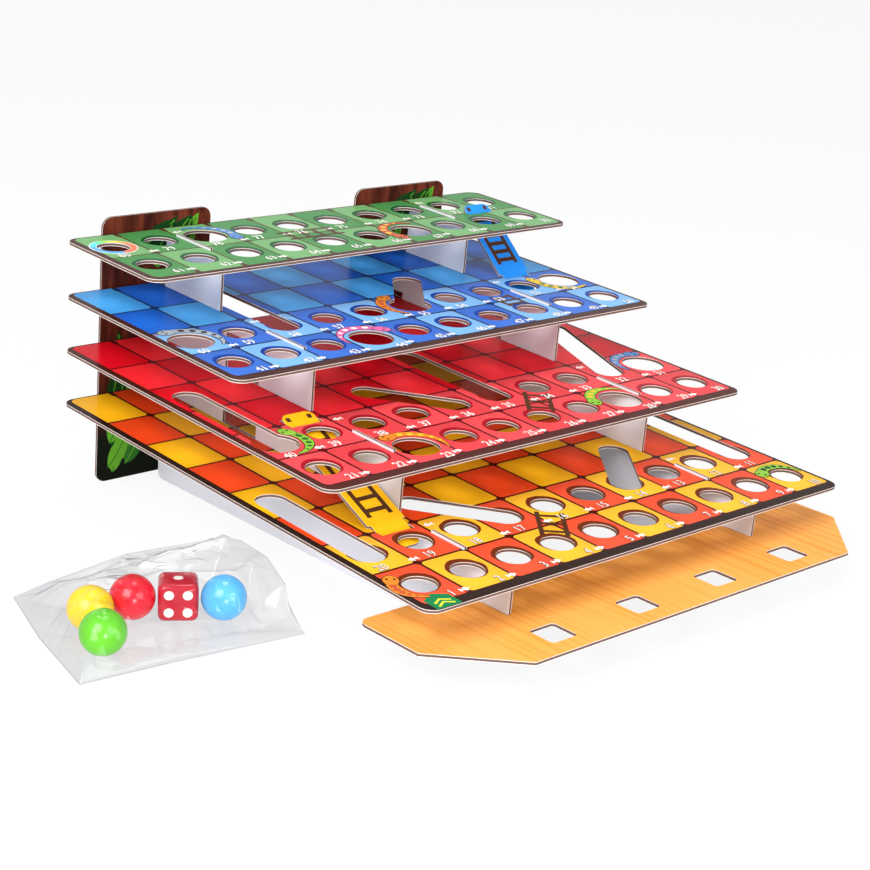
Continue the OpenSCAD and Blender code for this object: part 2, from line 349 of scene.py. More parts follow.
@dataclass(frozen=True)
class CellPrint:
    """Offset print of a tier: two-coloured cells with dark lines, and a shadow behind each hole."""

    # The eye gets strong flat colours that fade a little across each cell, with a drawn shadow that makes the
    # holes look deep. The places and radii of the fade are shares of a cell.
    even: str
    odd: str
    shadow: str
    line: str = "#42291F"
    border: str = "#45251E"
    pale: float = 0.1
    pale_odd: float = 0.03
    line_w: float = 1.0
    cell_r: float = 1.8
    shadow_r: float = 7.0
    shadow_shift: Triple = (0.5, -1.1, 0.0)
    shadow_wobble: float = 1.4
    left_edge: float = -98.0
    right_edge: float = 99.7
    rear_edge: float = 2.3
    border_r: float = 3.0
    bright_spot: Triple = (-0.15, 0.2, 0.0)
    bright_r: float = 0.1
    fade_r: float = 0.8
    fade: float = 0.78
    front_reach: float = 0.0

    def outside(self, tree: bpy.types.NodeTree, spot: bpy.types.Node, half_w: float, half_d: float,
                radius: float) -> bpy.types.Node:
        """Mask of what lies outside a round-cornered rectangle round the origin.

        Args:
            tree: Node tree of the print.
            spot: Millimetres from the rectangle's middle.
            half_w: Half its width.
            half_d: Half its depth.
            radius: Its corner radius.
        Returns:
            A node that is 1 outside.
        """
        away = add_node(tree, "VectorMath", {0: spot}, operation="ABSOLUTE")
        beyond = add_node(tree, "VectorMath", {0: away, 1: (half_w - radius, half_d - radius, 0.0)},
                          operation="SUBTRACT")
        clear = add_node(tree, "VectorMath", {0: beyond, 1: (0.0, 0.0, 0.0)}, operation="MAXIMUM")
        flat = add_node(tree, "VectorMath", {0: clear, 1: (1.0, 1.0, 0.0)}, operation="MULTIPLY")
        far = add_node(tree, "VectorMath", {0: flat}, operation="LENGTH")
        return add_node(tree, "Math", {0: far.outputs["Value"], 1: radius}, operation="GREATER_THAN")

    def colour_cells(self, tree: bpy.types.NodeTree, cell: bpy.types.Node, middle: bpy.types.Node,
                     holed: bpy.types.Node) -> bpy.types.NodeSocket:
        """Draw the two colours of the cells, which fade across each cell and are paler where it has a hole.

        Args:
            tree: Node tree of the print.
            cell: Place on the board, in cells.
            middle: Place from the middle of the cell, in cells.
            holed: Mask of the rows with holes.
        Returns:
            The colour.
        """
        check = add_node(tree, "TexChecker", {"Vector": cell, "Color1": linear(self.odd),
                                              "Color2": linear(self.even), "Scale": 1.0})
        glow = add_node(tree, "VectorMath", {0: middle, 1: self.bright_spot}, operation="DISTANCE")
        tone = add_node(tree, "MapRange", {"Value": glow.outputs["Value"], "From Min": self.bright_r,
                                           "From Max": self.fade_r, "To Min": 1.0, "To Max": self.fade})
        shaded = add_node(tree, "Mix", {SHARE: 1.0, COLOUR_A: check, COLOUR_B: tone}, data_type="RGBA",
                          blend_type="MULTIPLY").outputs[MIXED]
        pale = add_node(tree, "MapRange", {"Value": check.outputs["Fac"], "To Min": self.pale,
                                           "To Max": self.pale_odd})
        paled = add_node(tree, "Math", {0: holed, 1: pale}, operation="MULTIPLY")
        return add_node(tree, "Mix", {SHARE: paled, COLOUR_A: shaded, COLOUR_B: WHITE},
                        data_type="RGBA").outputs[MIXED]

    def shade_holes(self, tree: bpy.types.NodeTree, local: bpy.types.Node, spot: bpy.types.Node,
                    holed: bpy.types.Node) -> bpy.types.Node:
        """Mask of the ragged shadows that are drawn behind the holes.

        Args:
            tree: Node tree of the print.
            local: Place on the board in millimetres.
            spot: Millimetres from the middle of the cell.
            holed: Mask of the rows with holes.
        Returns:
            A node that is 1 in a shadow.
        """
        ragged = add_node(tree, "TexNoise", {"Vector": local, "Scale": 1 / self.shadow_r})
        back = add_node(tree, "VectorMath", {0: spot, 1: self.shadow_shift}, operation="DISTANCE")
        rim = add_node(tree, "Math", {0: ragged, 1: self.shadow_wobble, 2: back.outputs["Value"]},
                       operation="MULTIPLY_ADD")
        near = add_node(tree, "Math", {0: rim, 1: self.shadow_r + self.shadow_wobble / 2},
                        operation="LESS_THAN")
        return add_node(tree, "Math", {0: near, 1: holed}, operation="MULTIPLY")

    def draw(self, slope: Slope, tier: int, tree: bpy.types.NodeTree,
             local: bpy.types.Node) -> bpy.types.NodeSocket:
        """Draw a tier's cells, lines, shadows and border.

        Args:
            slope: Frame of the tiers.
            tier: Number of the tier, from the lowest.
            tree: Node tree of its material.
            local: Place on the board in millimetres.
        Returns:
            The printed colour.
        """
        front_edge = -slope.rows(tier) * slope.cell_d
        # Past the rear row, and where the print reaches over the front one, the cells go on as at their edge
        front = front_edge + self.line_w if self.front_reach else -FAR
        held = add_node(tree, "VectorMath", {0: local, 1: (-FAR, front, -FAR)}, operation="MAXIMUM")
        kept = add_node(tree, "VectorMath", {0: held, 1: (FAR, -self.line_w, FAR)}, operation="MINIMUM")
        cell = add_node(tree, "VectorMath", {0: kept, 1: (1 / slope.cell_w, -1 / slope.cell_d, 0.0),
                                             2: (slope.columns / 2, 0.0, 0.5)}, operation="MULTIPLY_ADD")
        part = add_node(tree, "VectorMath", {0: cell}, operation="FRACTION")
        middle = add_node(tree, "VectorMath", {0: part, 1: (0.5, 0.5, 0.5)}, operation="SUBTRACT")
        spot = add_node(tree, "VectorMath", {0: middle, 1: (slope.cell_w, slope.cell_d, 0.0)},
                        operation="MULTIPLY")
        row = add_node(tree, "SeparateXYZ", {0: cell}).outputs["Y"]
        holed = add_node(tree, "Math", {0: row, 1: float(slope.rows(tier) - slope.open_rows)},
                         operation="GREATER_THAN")
        lit = self.colour_cells(tree, cell, middle, holed)
        shade = self.shade_holes(tree, local, spot, holed)
        inked = add_node(tree, "Mix", {SHARE: shade, COLOUR_A: lit, COLOUR_B: linear(self.shadow)},
                         data_type="RGBA").outputs[MIXED]
        lined = self.outside(tree, spot, (slope.cell_w - self.line_w) / 2, (slope.cell_d - self.line_w) / 2,
                             self.cell_r)
        ruled = add_node(tree, "Mix", {SHARE: lined, COLOUR_A: inked, COLOUR_B: linear(self.line)},
                         data_type="RGBA").outputs[MIXED]
        front_edge -= self.front_reach
        centre = ((self.left_edge + self.right_edge) / 2, (front_edge + self.rear_edge) / 2, 0.0)
        board = add_node(tree, "VectorMath", {0: local, 1: centre}, operation="SUBTRACT")
        past = self.outside(tree, board, (self.right_edge - self.left_edge) / 2,
                            (self.rear_edge - front_edge) / 2, self.border_r)
        return add_node(tree, "Mix", {SHARE: past, COLOUR_A: ruled, COLOUR_B: linear(self.border)},
                        data_type="RGBA").outputs[MIXED]


@dataclass(frozen=True)
class PlainPrint:
    """One printed colour on coated paper."""

    # The eye gets an even colour with the faint clouds of offset ink.
    ink: str
    mottled: str
    grain: float = 6.0
    detail: float = 2.0

    def draw(self, tree: bpy.types.NodeTree, local: bpy.types.Node) -> bpy.types.NodeSocket:
        """Draw the mottled colour.

        Args:
            tree: Node tree of the card's material.
            local: Place on the card in millimetres.
        Returns:
            The printed colour.
        """
        cloud = add_node(tree, "TexNoise", {"Vector": local, "Scale": 1 / self.grain, "Detail": self.detail})
        return add_node(tree, "Mix", {SHARE: cloud, COLOUR_A: linear(self.ink),
                                      COLOUR_B: linear(self.mottled)}, data_type="RGBA").outputs[MIXED]


@dataclass(frozen=True)
class WoodPrint:
    """Printed pine."""

    # The eye gets broad soft bands from front to rear, with wavy grain that comes and goes over them.
    pale: str = "#FBB55E"
    warm: str = "#F4A246"
    streak: str = "#E3882C"
    stretch: float = 0.12
    band_w: float = 26.0
    band_detail: float = 2.0
    band_wobble: float = 0.8
    spacing: float = 4.2
    grain_wobble: float = 14.0
    grain_detail: float = 3.0
    grain_detail_scale: float = 0.7
    grain_limit: float = 0.55
    faint_band: float = 0.4
    strong_band: float = 0.62
    faint: float = 0.08
    strong: float = 0.6

    def draw(self, tree: bpy.types.NodeTree, local: bpy.types.Node) -> bpy.types.NodeSocket:
        """Draw the bands and the grain.

        Args:
            tree: Node tree of the card's material.
            local: Place on the card in millimetres.
        Returns:
            The printed colour.
        """
        long = add_node(tree, "VectorMath", {0: local, 1: (1.0, self.stretch, 1.0)}, operation="MULTIPLY")
        broad = add_node(tree, "TexNoise", {"Vector": long, "Scale": 1 / self.band_w,
                                            "Detail": self.band_detail, "Distortion": self.band_wobble})
        base = add_node(tree, "Mix", {SHARE: broad, COLOUR_A: linear(self.pale), COLOUR_B: linear(self.warm)},
                        data_type="RGBA").outputs[MIXED]
        wave = add_node(tree, "TexWave", {"Vector": long, "Scale": WAVE_PERIOD / self.spacing,
                                          "Distortion": self.grain_wobble, "Detail": self.grain_detail,
                                          "Detail Scale": self.grain_detail_scale}, bands_direction="X")
        patchy = add_node(tree, "MapRange", {"Value": broad, "From Min": self.faint_band,
                                             "From Max": self.strong_band, "To Min": self.faint,
                                             "To Max": self.strong})
        thin = add_node(tree, "MapRange", {"Value": wave, "From Min": self.grain_limit, "To Max": patchy})
        return add_node(tree, "Mix", {SHARE: thin, COLOUR_A: base, COLOUR_B: linear(self.streak)},
                        data_type="RGBA").outputs[MIXED]


@dataclass(frozen=True)
class BarkPrint:
    """Printed bark."""

    # The eye gets upright brown furrows that darken to undergrowth near the table.
    ridge: str = "#6E3223"
    furrow: str = "#321512"
    ground: str = "#10140C"
    furrow_w: float = 5.0
    stretch: float = 0.22
    detail: float = 4.0
    wobble: float = 0.6
    furrow_limit: float = 0.35
    ridge_limit: float = 0.68
    ground_top: float = 12.0
    ground_low: float = -20.0

    def draw(self, tree: bpy.types.NodeTree, local: bpy.types.Node) -> bpy.types.NodeSocket:
        """Draw the furrows and the dark ground.

        Args:
            tree: Node tree of the card's material.
            local: Place on the card in millimetres.
        Returns:
            The printed colour.
        """
        tall = add_node(tree, "VectorMath", {0: local, 1: (1.0, 0.0, self.stretch)}, operation="MULTIPLY")
        rough = add_node(tree, "TexNoise", {"Vector": tall, "Scale": 1 / self.furrow_w, "Detail": self.detail,
                                            "Distortion": self.wobble})
        steep = add_node(tree, "MapRange", {"Value": rough, "From Min": self.furrow_limit,
                                            "From Max": self.ridge_limit})
        bark = add_node(tree, "Mix", {SHARE: steep, COLOUR_A: linear(self.furrow),
                                      COLOUR_B: linear(self.ridge)}, data_type="RGBA").outputs[MIXED]
        height = add_node(tree, "SeparateXYZ", {0: local}).outputs["Z"]
        low = add_node(tree, "MapRange", {"Value": height, "From Min": self.ground_top,
                                          "From Max": self.ground_low})
        return add_node(tree, "Mix", {SHARE: low, COLOUR_A: bark, COLOUR_B: linear(self.ground)},
                        data_type="RGBA").outputs[MIXED]


@dataclass(frozen=True)
class Ink:
    """Gloss offset ink."""

    # The eye gets a flat colour with a faint mottle, as of ink that dried a little unevenly.
    name: str
    colour: str
    gloss: float = 0.22
    mottle: float = 3.0
    fade: float = 0.86

    def material(self) -> bpy.types.Material:
        """Make the ink's material, or give the one that was made before.

        Returns:
            The material.
        """
        known = bpy.data.materials.get(self.name)
        if known:
            return known
        material, tree, shader = new_material(self.name)
        coords = add_node(tree, "TexCoord")
        cloud = add_node(tree, "TexNoise", {"Vector": coords.outputs["Object"],
                                            "Scale": 1 / (self.mottle * MM)})
        red, green, blue, alpha = linear(self.colour)
        faded = (red * self.fade, green * self.fade, blue * self.fade, alpha)
        tone = add_node(tree, "Mix", {SHARE: cloud, COLOUR_A: linear(self.colour), COLOUR_B: faded},
                        data_type="RGBA")
        feed(tree, shader, {"Base Color": tone.outputs[MIXED], "Roughness": self.gloss,
                            "Specular IOR Level": PRINT_SPECULAR})
        return material


class Inks:
    """Inks of the printed figures."""

    WHITE = Ink("white_ink", "#F7F3EC")
    BROWN = Ink("brown_ink", "#54321F")
    OUTLINE = Ink("outline_ink", "#3A211A")
    LEAF = Ink("leaf_ink", "#2F6E27")
    LEAF_DARK = Ink("dark_leaf_ink", "#17401C")
    LEAF_PALE = Ink("pale_leaf_ink", "#5FA02C")
    SIGN = Ink("sign_ink", "#12804A")
    CHEVRON = Ink("chevron_ink", "#D8DE3C")
    ORANGE = Ink("orange_snake_ink", "#E98A2E")
    GREEN = Ink("green_snake_ink", "#8CC63E")
    PINK = Ink("pink_snake_ink", "#E86FA8")
    SILVER = Ink("silver_snake_ink", "#A9B4BC")
    BLUE = Ink("blue_snake_ink", "#5B8FD0")
    RUST = Ink("rust_snake_ink", "#C95A35")
    YELLOW = Ink("yellow_snake_ink", "#EFC63A")


@dataclass(frozen=True)
class FinishRing:
    """Gloss ink in the colours of the rainbow, round the last hole."""

    # The eye gets red that turns through yellow and green to blue. Places on it are shares of its round.
    name: str = "rainbow_ink"
    saturation: float = 0.88
    value: float = 0.86
    start: float = 0.25
    red_until: float = 0.2
    blue_from: float = 0.8
    first_hue: float = 0.02
    last_hue: float = 0.6

    def material(self, place: Matrix) -> bpy.types.Material:
        """Make the ring's material.

        Args:
            place: Matrix of the ring's middle.
        Returns:
            The material.
        """
        material, tree, shader = new_material(self.name)
        _, local = local_coords(tree, place)
        around = add_node(tree, "TexGradient", {0: local}, gradient_type="RADIAL")
        turned = add_node(tree, "Math", {0: around.outputs["Fac"], 1: self.start}, operation="SUBTRACT")
        once = add_node(tree, "Math", {0: turned}, operation="FRACT")
        hue = add_node(tree, "MapRange", {"Value": once, "From Min": self.red_until,
                                          "From Max": self.blue_from, "To Min": self.first_hue,
                                          "To Max": self.last_hue}, interpolation_type="SMOOTHERSTEP")
        colour = add_node(tree, "CombineColor", {0: hue, 1: self.saturation, 2: self.value}, mode="HSV")
        feed(tree, shader, {"Base Color": colour, "Roughness": Inks.WHITE.gloss,
                            "Specular IOR Level": PRINT_SPECULAR})
        return material


class PrintedArt:
    """Thin inked figures on one printed face, gathered into one mesh."""

    INK_DEPTH = 0.03
    LIFT = 0.01
    LAYER_STEP = 0.04
    ROUND = 24
    TYPE_STEPS = 3

    def __init__(self, place: Matrix, inks: Sequence[Ink], step: float = LAYER_STEP) -> None:
        """Start an empty sheet.

        Args:
            place: Matrix that puts the sheet's millimetres on the printed face.
            inks: Inks that the figures use.
            step: Height from layer to layer.
        """
        self.step = step
        self.shape = bmesh.new()
        self.place = place
        self.inks = list(inks)

    def press(self, faces: Sequence[bmesh.types.BMFace], ink: Ink, layer: int) -> None:
        """Give flat faces the thickness of ink.

        Args:
            faces: Faces drawn at height 0.
            ink: Ink of the figure.
            layer: Layer it lies in, from 0 on the paper.
        """
        index = self.inks.index(ink)
        corners = list({v for f in faces for v in f.verts})
        bmesh.ops.translate(self.shape, verts=corners, vec=(0, 0, self.LIFT + layer * self.step))
        grown = bmesh.ops.extrude_face_region(self.shape, geom=list(faces))["geom"]
        raised = [g for g in grown if isinstance(g, bmesh.types.BMVert)]
        bmesh.ops.translate(self.shape, verts=raised, vec=(0, 0, self.INK_DEPTH))
        for vert in corners + raised:
            for face in vert.link_faces:
                face.material_index = index

    def patch(self, points: Sequence[Point], ink: Ink, layer: int) -> None:
        """Draw a filled outline.

        Args:
            points: Its corners, in order.
            ink: Its ink.
            layer: Layer it lies in.
        """
        corners = [self.shape.verts.new((x, y, 0)) for x, y in points]
        self.press([self.shape.faces.new(corners)], ink, layer)

    def disc(self, x: float, y: float, radius: float, ink: Ink, layer: int, squeeze: float = 1.0,
             turn: float = 0.0) -> None:
        """Draw a disc, or an oval when squeezed across its turned length.

        Args:
            x: Its middle across.
            y: Its middle upward.
            radius: Its radius, or half an oval's length.
            ink: Its ink.
            layer: Layer it lies in.
            squeeze: An oval's width over its length.
            turn: Direction of an oval's length.
        """
        spread = Matrix.Translation((x, y, 0)) @ Matrix.Rotation(turn, 4, "Z") @ Matrix.Diagonal(
            (radius, radius * squeeze, 1, 1))
        made = bmesh.ops.create_circle(self.shape, cap_ends=True, segments=self.ROUND, radius=1,
                                       matrix=spread)
        self.press(list({f for v in made["verts"] for f in v.link_faces}), ink, layer)

    def ring(self, x: float, y: float, inner: float, outer: float, ink: Ink, layer: int) -> None:
        """Draw a flat ring.

        Args:
            x: Its middle across.
            y: Its middle upward.
            inner: Its inner radius.
            outer: Its outer radius.
            ink: Its ink.
            layer: Layer it lies in.
        """
        before = set(self.shape.faces)
        start = [self.shape.verts.new((x + r, y, 0)) for r in (inner, outer)]
        edge = self.shape.edges.new(start)
        bmesh.ops.spin(self.shape, geom=start + [edge], cent=(x, y, 0), axis=(0, 0, 1), angle=math.tau,
                       steps=2 * self.ROUND, use_merge=True)
        self.press([f for f in self.shape.faces if f not in before], ink, layer)

    def band(self, path: Sequence[Point], widths: Sequence[float], ink: Ink, layer: int) -> None:
        """Draw a band of changing width along a path.

        Args:
            path: Points along its middle.
            widths: Its width at each point.
            ink: Ink of the band.
            layer: Layer it lies in.
        """
        points = [Vector((x, y, 0)) for x, y in path]
        last = len(points) - 1
        # A unit grid: its x runs along the path and its y across it
        made = bmesh.ops.create_grid(self.shape, x_segments=last, y_segments=1, size=0.5)["verts"]
        for vert in made:
            i = round((vert.co.x + 0.5) * last)
            along = points[min(i + 1, last)] - points[max(i - 1, 0)]
            across = Vector((-along.y, along.x, 0)).normalized() * widths[i]
            vert.co = points[i] + across * vert.co.y
        self.press(list({f for v in made for f in v.link_faces}), ink, layer)

    def bar(self, start: Point, end: Point, width: float, ink: Ink, layer: int = Layer.PAPER) -> None:
        """Draw a straight bar."""
        self.band((start, end), (width, width), ink, layer)

    def ladder(self, start: Point, end: Point, width: float, rungs: int, ink: Ink, bar_w: float) -> None:
        """Draw a ladder with two rails and evenly spaced rungs.

        Args:
            start: Middle of its foot.
            end: Middle of its head.
            width: Distance between its rails.
            rungs: Number of rungs.
            ink: Ink of the ladder.
            bar_w: Width of a rail or a rung.
        """
        foot = Vector(start)
        run = Vector(end) - foot
        across = Vector((-run.y, run.x)).normalized() * width / 2
        for side in (-1, 1):
            self.bar(foot + across * side, foot + run + across * side, bar_w, ink)
        for k in range(rungs):
            middle = foot + run * (k + 0.5) / rungs
            self.bar(middle - across, middle + across, bar_w, ink, Layer.LOW)

    def text(self, words: str, x: float, y: float, height: float, ink: Ink, layer: int, squeeze: float,
             swell: float) -> None:
        """Draw a number.

        Args:
            words: Its digits.
            x: Its middle across.
            y: Its middle upward.
            height: Height of the type.
            ink: Its ink.
            layer: Layer it lies in.
            squeeze: Width of the type over the font's own.
            swell: Growth of the outline on each side.
        """
        type_curve = bpy.data.curves.new("number", "FONT")
        type_curve.body = words
        type_curve.size = height
        type_curve.align_x = "CENTER"
        type_curve.align_y = "CENTER"
        type_curve.resolution_u = self.TYPE_STEPS
        type_curve.offset = swell
        setter = bpy.data.objects.new("number", type_curve)
        bpy.context.scene.collection.objects.link(setter)
        bpy.context.view_layer.update()
        glyphs = bpy.data.meshes.new_from_object(setter.evaluated_get(bpy.context.evaluated_depsgraph_get()))
        glyphs.transform(Matrix.Translation((x, y, 0)) @ Matrix.Diagonal((squeeze, 1, 1, 1)))
        before = set(self.shape.faces)
        self.shape.from_mesh(glyphs)
        bpy.data.objects.remove(setter)
        bpy.data.curves.remove(type_curve)
        bpy.data.meshes.remove(glyphs)
        self.press([f for f in self.shape.faces if f not in before], ink, layer)

    def build(self, name: str, body: str, slot: str) -> bpy.types.Object:
        """Place the figures and make them a piece.

        Args:
            name: Name of the piece.
            body: Body that carries it.
            slot: Not used.
        Returns:
            The piece.
        """
        bmesh.ops.recalc_face_normals(self.shape, faces=self.shape.faces[:])
        bmesh.ops.transform(self.shape, matrix=self.place, verts=self.shape.verts[:])
        return make_piece(self.shape, name, body, [ink.material() for ink in self.inks])


def arc(x: float, y: float, radius: float, start: float, sweep: float, steps: int) -> list[Point]:
    """Points along an arc.

    Args:
        x: Middle across.
        y: Middle upward.
        radius: Radius of the arc.
        start: First angle in degrees.
        sweep: Angle it covers in degrees.
        steps: Number of stretches.
    Returns:
        The points.
    """
    angles = [math.radians(start + sweep * k / steps) for k in range(steps + 1)]
    return [(x + radius * math.cos(a), y + radius * math.sin(a)) for a in angles]


@dataclass(frozen=True)
class Snake:
    """A printed snake curled round a hole: its cell, its head's angle and sweep in degrees, and its inks."""

    tier: int
    column: int
    row: int
    start: float
    sweep: float
    body: Ink
    marks: Ink


@dataclass(frozen=True)
class SnakeFigure:
    """Form of every printed snake.

    The gap to the hole and the head's parts are shares of the head's radius, and the tail, the taper and the
    marks are shares of the body's width.
    """

    body_w: float = 3.8
    outline_w: float = 0.3
    head_r: float = 3.4
    steps: int = 20
    off_hole: float = 0.86
    tail: float = 0.12
    taper: float = 1.5
    mark_step: int = 3
    mark_r: float = 0.3125
    nose: float = 0.5
    tongue_from: float = 0.6
    tongue_to: float = 1.6
    squeeze: float = 0.76
    outline_squeeze: float = 0.78
    eye_ahead: float = 0.25
    eye_aside: float = 0.36
    eye_r: float = 0.15

    def draw(self, sheet: PrintedArt, snake: Snake, middle: Point, hole_r: float) -> None:
        """Print a snake: a tapered body round its hole, back marks, and a head with eyes and a tongue.

        Args:
            sheet: Sheet that gets it.
            snake: Its curl and inks.
            middle: Middle of its hole.
            hole_r: Radius of its hole.
        """
        path = arc(*middle, hole_r + self.head_r * self.off_hole, snake.start, snake.sweep, self.steps)
        shares = [min(1.0, self.tail + self.taper * (1 - i / self.steps)) for i in range(self.steps + 1)]
        widths = [self.body_w * share for share in shares]
        sheet.band(path, [w + 2 * self.outline_w for w in widths], Inks.OUTLINE, Layer.LOW)
        sheet.band(path, widths, snake.body, Layer.MIDDLE)
        for i in range(self.mark_step, self.steps - self.mark_step, self.mark_step):
            sheet.disc(*path[i], widths[i] * self.mark_r, snake.marks, Layer.HIGH)
        head = Vector(path[0])
        ahead = (head - Vector(path[1])).normalized()
        side = Vector((-ahead.y, ahead.x))
        turn = math.atan2(ahead.y, ahead.x)
        nose = head + ahead * self.head_r * self.nose
        tongue = [nose + ahead * self.head_r * share for share in (self.tongue_from, self.tongue_to)]
        sheet.bar(*tongue, self.outline_w * 2, Inks.RUST, Layer.LOW)
        sheet.disc(*nose, self.head_r + self.outline_w, Inks.OUTLINE, Layer.MIDDLE, self.outline_squeeze,
                   turn)
        sheet.disc(*nose, self.head_r, snake.body, Layer.HIGH, self.squeeze, turn)
        for way in (-1, 1):
            eye = nose + (ahead * self.eye_ahead + side * self.eye_aside * way) * self.head_r
            sheet.disc(*eye, self.head_r * self.eye_r, Inks.OUTLINE, Layer.TOP)


@dataclass(frozen=True)
class LadderPrint:
    """A printed ladder between two points, in columns and rows of cells."""

    tier: int
    foot: Point
    head: Point
    rungs: int = 3
    joins_holes: bool = True


class TierColour(Enum):
    """Tiers from the lowest, each with its print."""

    YELLOW = CellPrint("#FFBC18", "#F24A1C", "#6A2A10", line="#43140B", border="#2A1812", pale=0.02,
                       pale_odd=0.02)
    RED = CellPrint("#DE0E20", "#F92A34", "#A01422", line="#4E0F15", border="#4A1C14", pale=0.05,
                    pale_odd=0.05, fade=0.86)
    BLUE = CellPrint("#4BA8EC", "#2168D0", "#173C92", line="#1A2A52", pale=0.14, pale_odd=0.03)
    GREEN = CellPrint("#64A65C", "#308636", "#145226", line="#4E3620", pale=0.05, line_w=0.8, fade=0.9,
                      front_reach=1.5)

    @property
    def label(self) -> str:
        """Colour's name, as the names of nodes and pieces have it."""
        return self.name.lower()


@dataclass
class Board:
    """The four printed tiers, with their numbers, arrows, snakes and ladders.

    Places of numbers, arrows and the sign are measured from the middle of their cell.
    """

    slope: Slope
    # Holes that a ball rests on, and holes that it drops through
    seat_r: float = 5.8
    drop_r: float = 8.3
    # Numbers
    type_h: float = 5.6
    type_squeeze: float = 0.8
    type_swell: float = 0.11
    outline_swell: float = 0.22
    label_x: float = 4.3
    label_y: float = -9.9
    drop_label_y: float = -11.2
    rear_label_x: float = -2.5
    # Arrows, and where they go in the columns with the supports' tabs
    arrow_x: float = 9.6
    arrow_l: float = 4.0
    arrow_w: float = 3.0
    arrow_shaft: float = 1.0
    arrow_tail: float = 2.4
    arrow_flare: float = 0.8
    tab_columns: tuple[int, ...] = (2, 8)
    tab_arrow: Point = (-7.1, 8.4)
    # Flat ladders
    ladder_w: float = 8.6
    ladder_bar: float = 1.7
    ladder_gap: float = 0.4
    # Start sign and its chevrons
    sign_x: float = -2.0
    sign_y: float = -16.3
    sign_w: float = 10.0
    sign_wall: float = 6.6
    sign_roof: float = 9.6
    chevrons: int = 2
    chevron_w: float = 0.9
    chevron_half: float = 3.2
    chevron_rise: float = 1.92
    chevron_low: float = 1.26
    chevron_step: float = 2.07
    # Cell of the last number, and the ring round its hole
    finish: tuple[int, int] = (0, 0)
    ring_w: float = 2.6
    ring_gap: float = 0.4
    rim_gap: float = 0.2
    figure: SnakeFigure = SnakeFigure()
    snakes: tuple[Snake, ...] = (
        Snake(3, 6, 1, 200, -150, Inks.RUST, Inks.YELLOW),
        Snake(3, 2, 0, -20, 130, Inks.BLUE, Inks.SILVER),
        Snake(2, 3, 3, 40, 150, Inks.PINK, Inks.WHITE),
        Snake(2, 0, 2, 95, -140, Inks.SILVER, Inks.OUTLINE),
        Snake(2, 9, 2, 170, 130, Inks.YELLOW, Inks.LEAF),
        Snake(2, 5, 2, 120, 110, Inks.ORANGE, Inks.RUST),
        Snake(1, 2, 5, 100, -130, Inks.ORANGE, Inks.YELLOW),
        Snake(1, 7, 5, 160, -120, Inks.GREEN, Inks.YELLOW),
        Snake(1, 9, 4, 75, 120, Inks.BLUE, Inks.SILVER),
        Snake(1, 0, 4, 25, -110, Inks.GREEN, Inks.LEAF),
        Snake(0, 0, 7, 145, 105, Inks.ORANGE, Inks.RUST),
        Snake(0, 9, 7, 130, -130, Inks.GREEN, Inks.LEAF_DARK),
    )
    ladders: tuple[LadderPrint, ...] = (
        LadderPrint(0, (3, 7), (4, 6)),
        LadderPrint(1, (5, 5), (6, 4)),
        LadderPrint(2, (7, 3), (7, 2)),
        LadderPrint(3, (3.35, 0.5), (4.65, 0.5), rungs=4, joins_holes=False),
    )

    def build(self, nodes: dict[str, bpy.types.Object]) -> None:
        """Dress the tiers and print them.

        Args:
            nodes: Objects of the frame, by name.
        """
        colours = list(TierColour)
        for tier, colour in enumerate(colours):
            middle = self.slope.place(z=self.slope.top(tier) - self.slope.card / 2)
            coat(nodes[f"{colour.label}_tier"],
                 Greyboard().dress(f"{colour.label}_printed_card", middle, Axis.Z,
                                   partial(colour.value.draw, self.slope, tier)))
        for tier, colour in enumerate(colours):
            self.label_tier(tier, colour)
        for k, snake in enumerate(self.snakes):
            self.draw_snake(snake, f"{colours[snake.tier].label}_tier_snake_{k + 1}", colours[snake.tier])
        for ladder in self.ladders:
            self.draw_ladder(ladder, colours[ladder.tier])
        self.draw_start()
        self.draw_finish()

    def art(self, tier: int, inks: Sequence[Ink]) -> PrintedArt:
        """Empty sheet of figures on a tier's printed face."""
        return PrintedArt(self.slope.place(z=self.slope.top(tier)), inks)

    def label_tier(self, tier: int, colour: TierColour) -> None:
        """Print a tier's numbers and the arrows from cell to cell.

        Args:
            tier: Number of the tier, from the lowest.
            colour: Its colour.
        """
        sheet = self.art(tier, (Inks.WHITE, Inks.OUTLINE))
        front = self.slope.rows(tier) - 1
        rear = front - 1
        first = tier * self.slope.open_rows * self.slope.columns
        drops = {(snake.column, snake.row) for snake in self.snakes if snake.tier == tier > 0}
        if colour is TierColour.GREEN:
            drops.add(self.finish)
        for column in range(self.slope.columns):
            x, y = self.slope.cell(column, front)
            below = self.drop_label_y if (column, front) in drops else self.label_y
            self.number(sheet, first + column + 1, x + self.label_x, y + below, colour)
            if column < self.slope.columns - 1:
                self.arrow(sheet, x + self.arrow_x, y + self.label_y, 1)
            x, y = self.slope.cell(column, rear)
            below = self.drop_label_y if (column, rear) in drops else self.label_y
            self.number(sheet, first + 2 * self.slope.columns - column, x + self.rear_label_x, y + below,
                        colour)
            if column in self.tab_columns:
                self.arrow(sheet, x + self.tab_arrow[0], y + self.tab_arrow[1], -1)
            elif column:
                self.arrow(sheet, x - self.arrow_x, y + self.label_y, -1)
        sheet.build(f"{colour.label}_tier_numbers", "stand", f"{colour.label}_print")

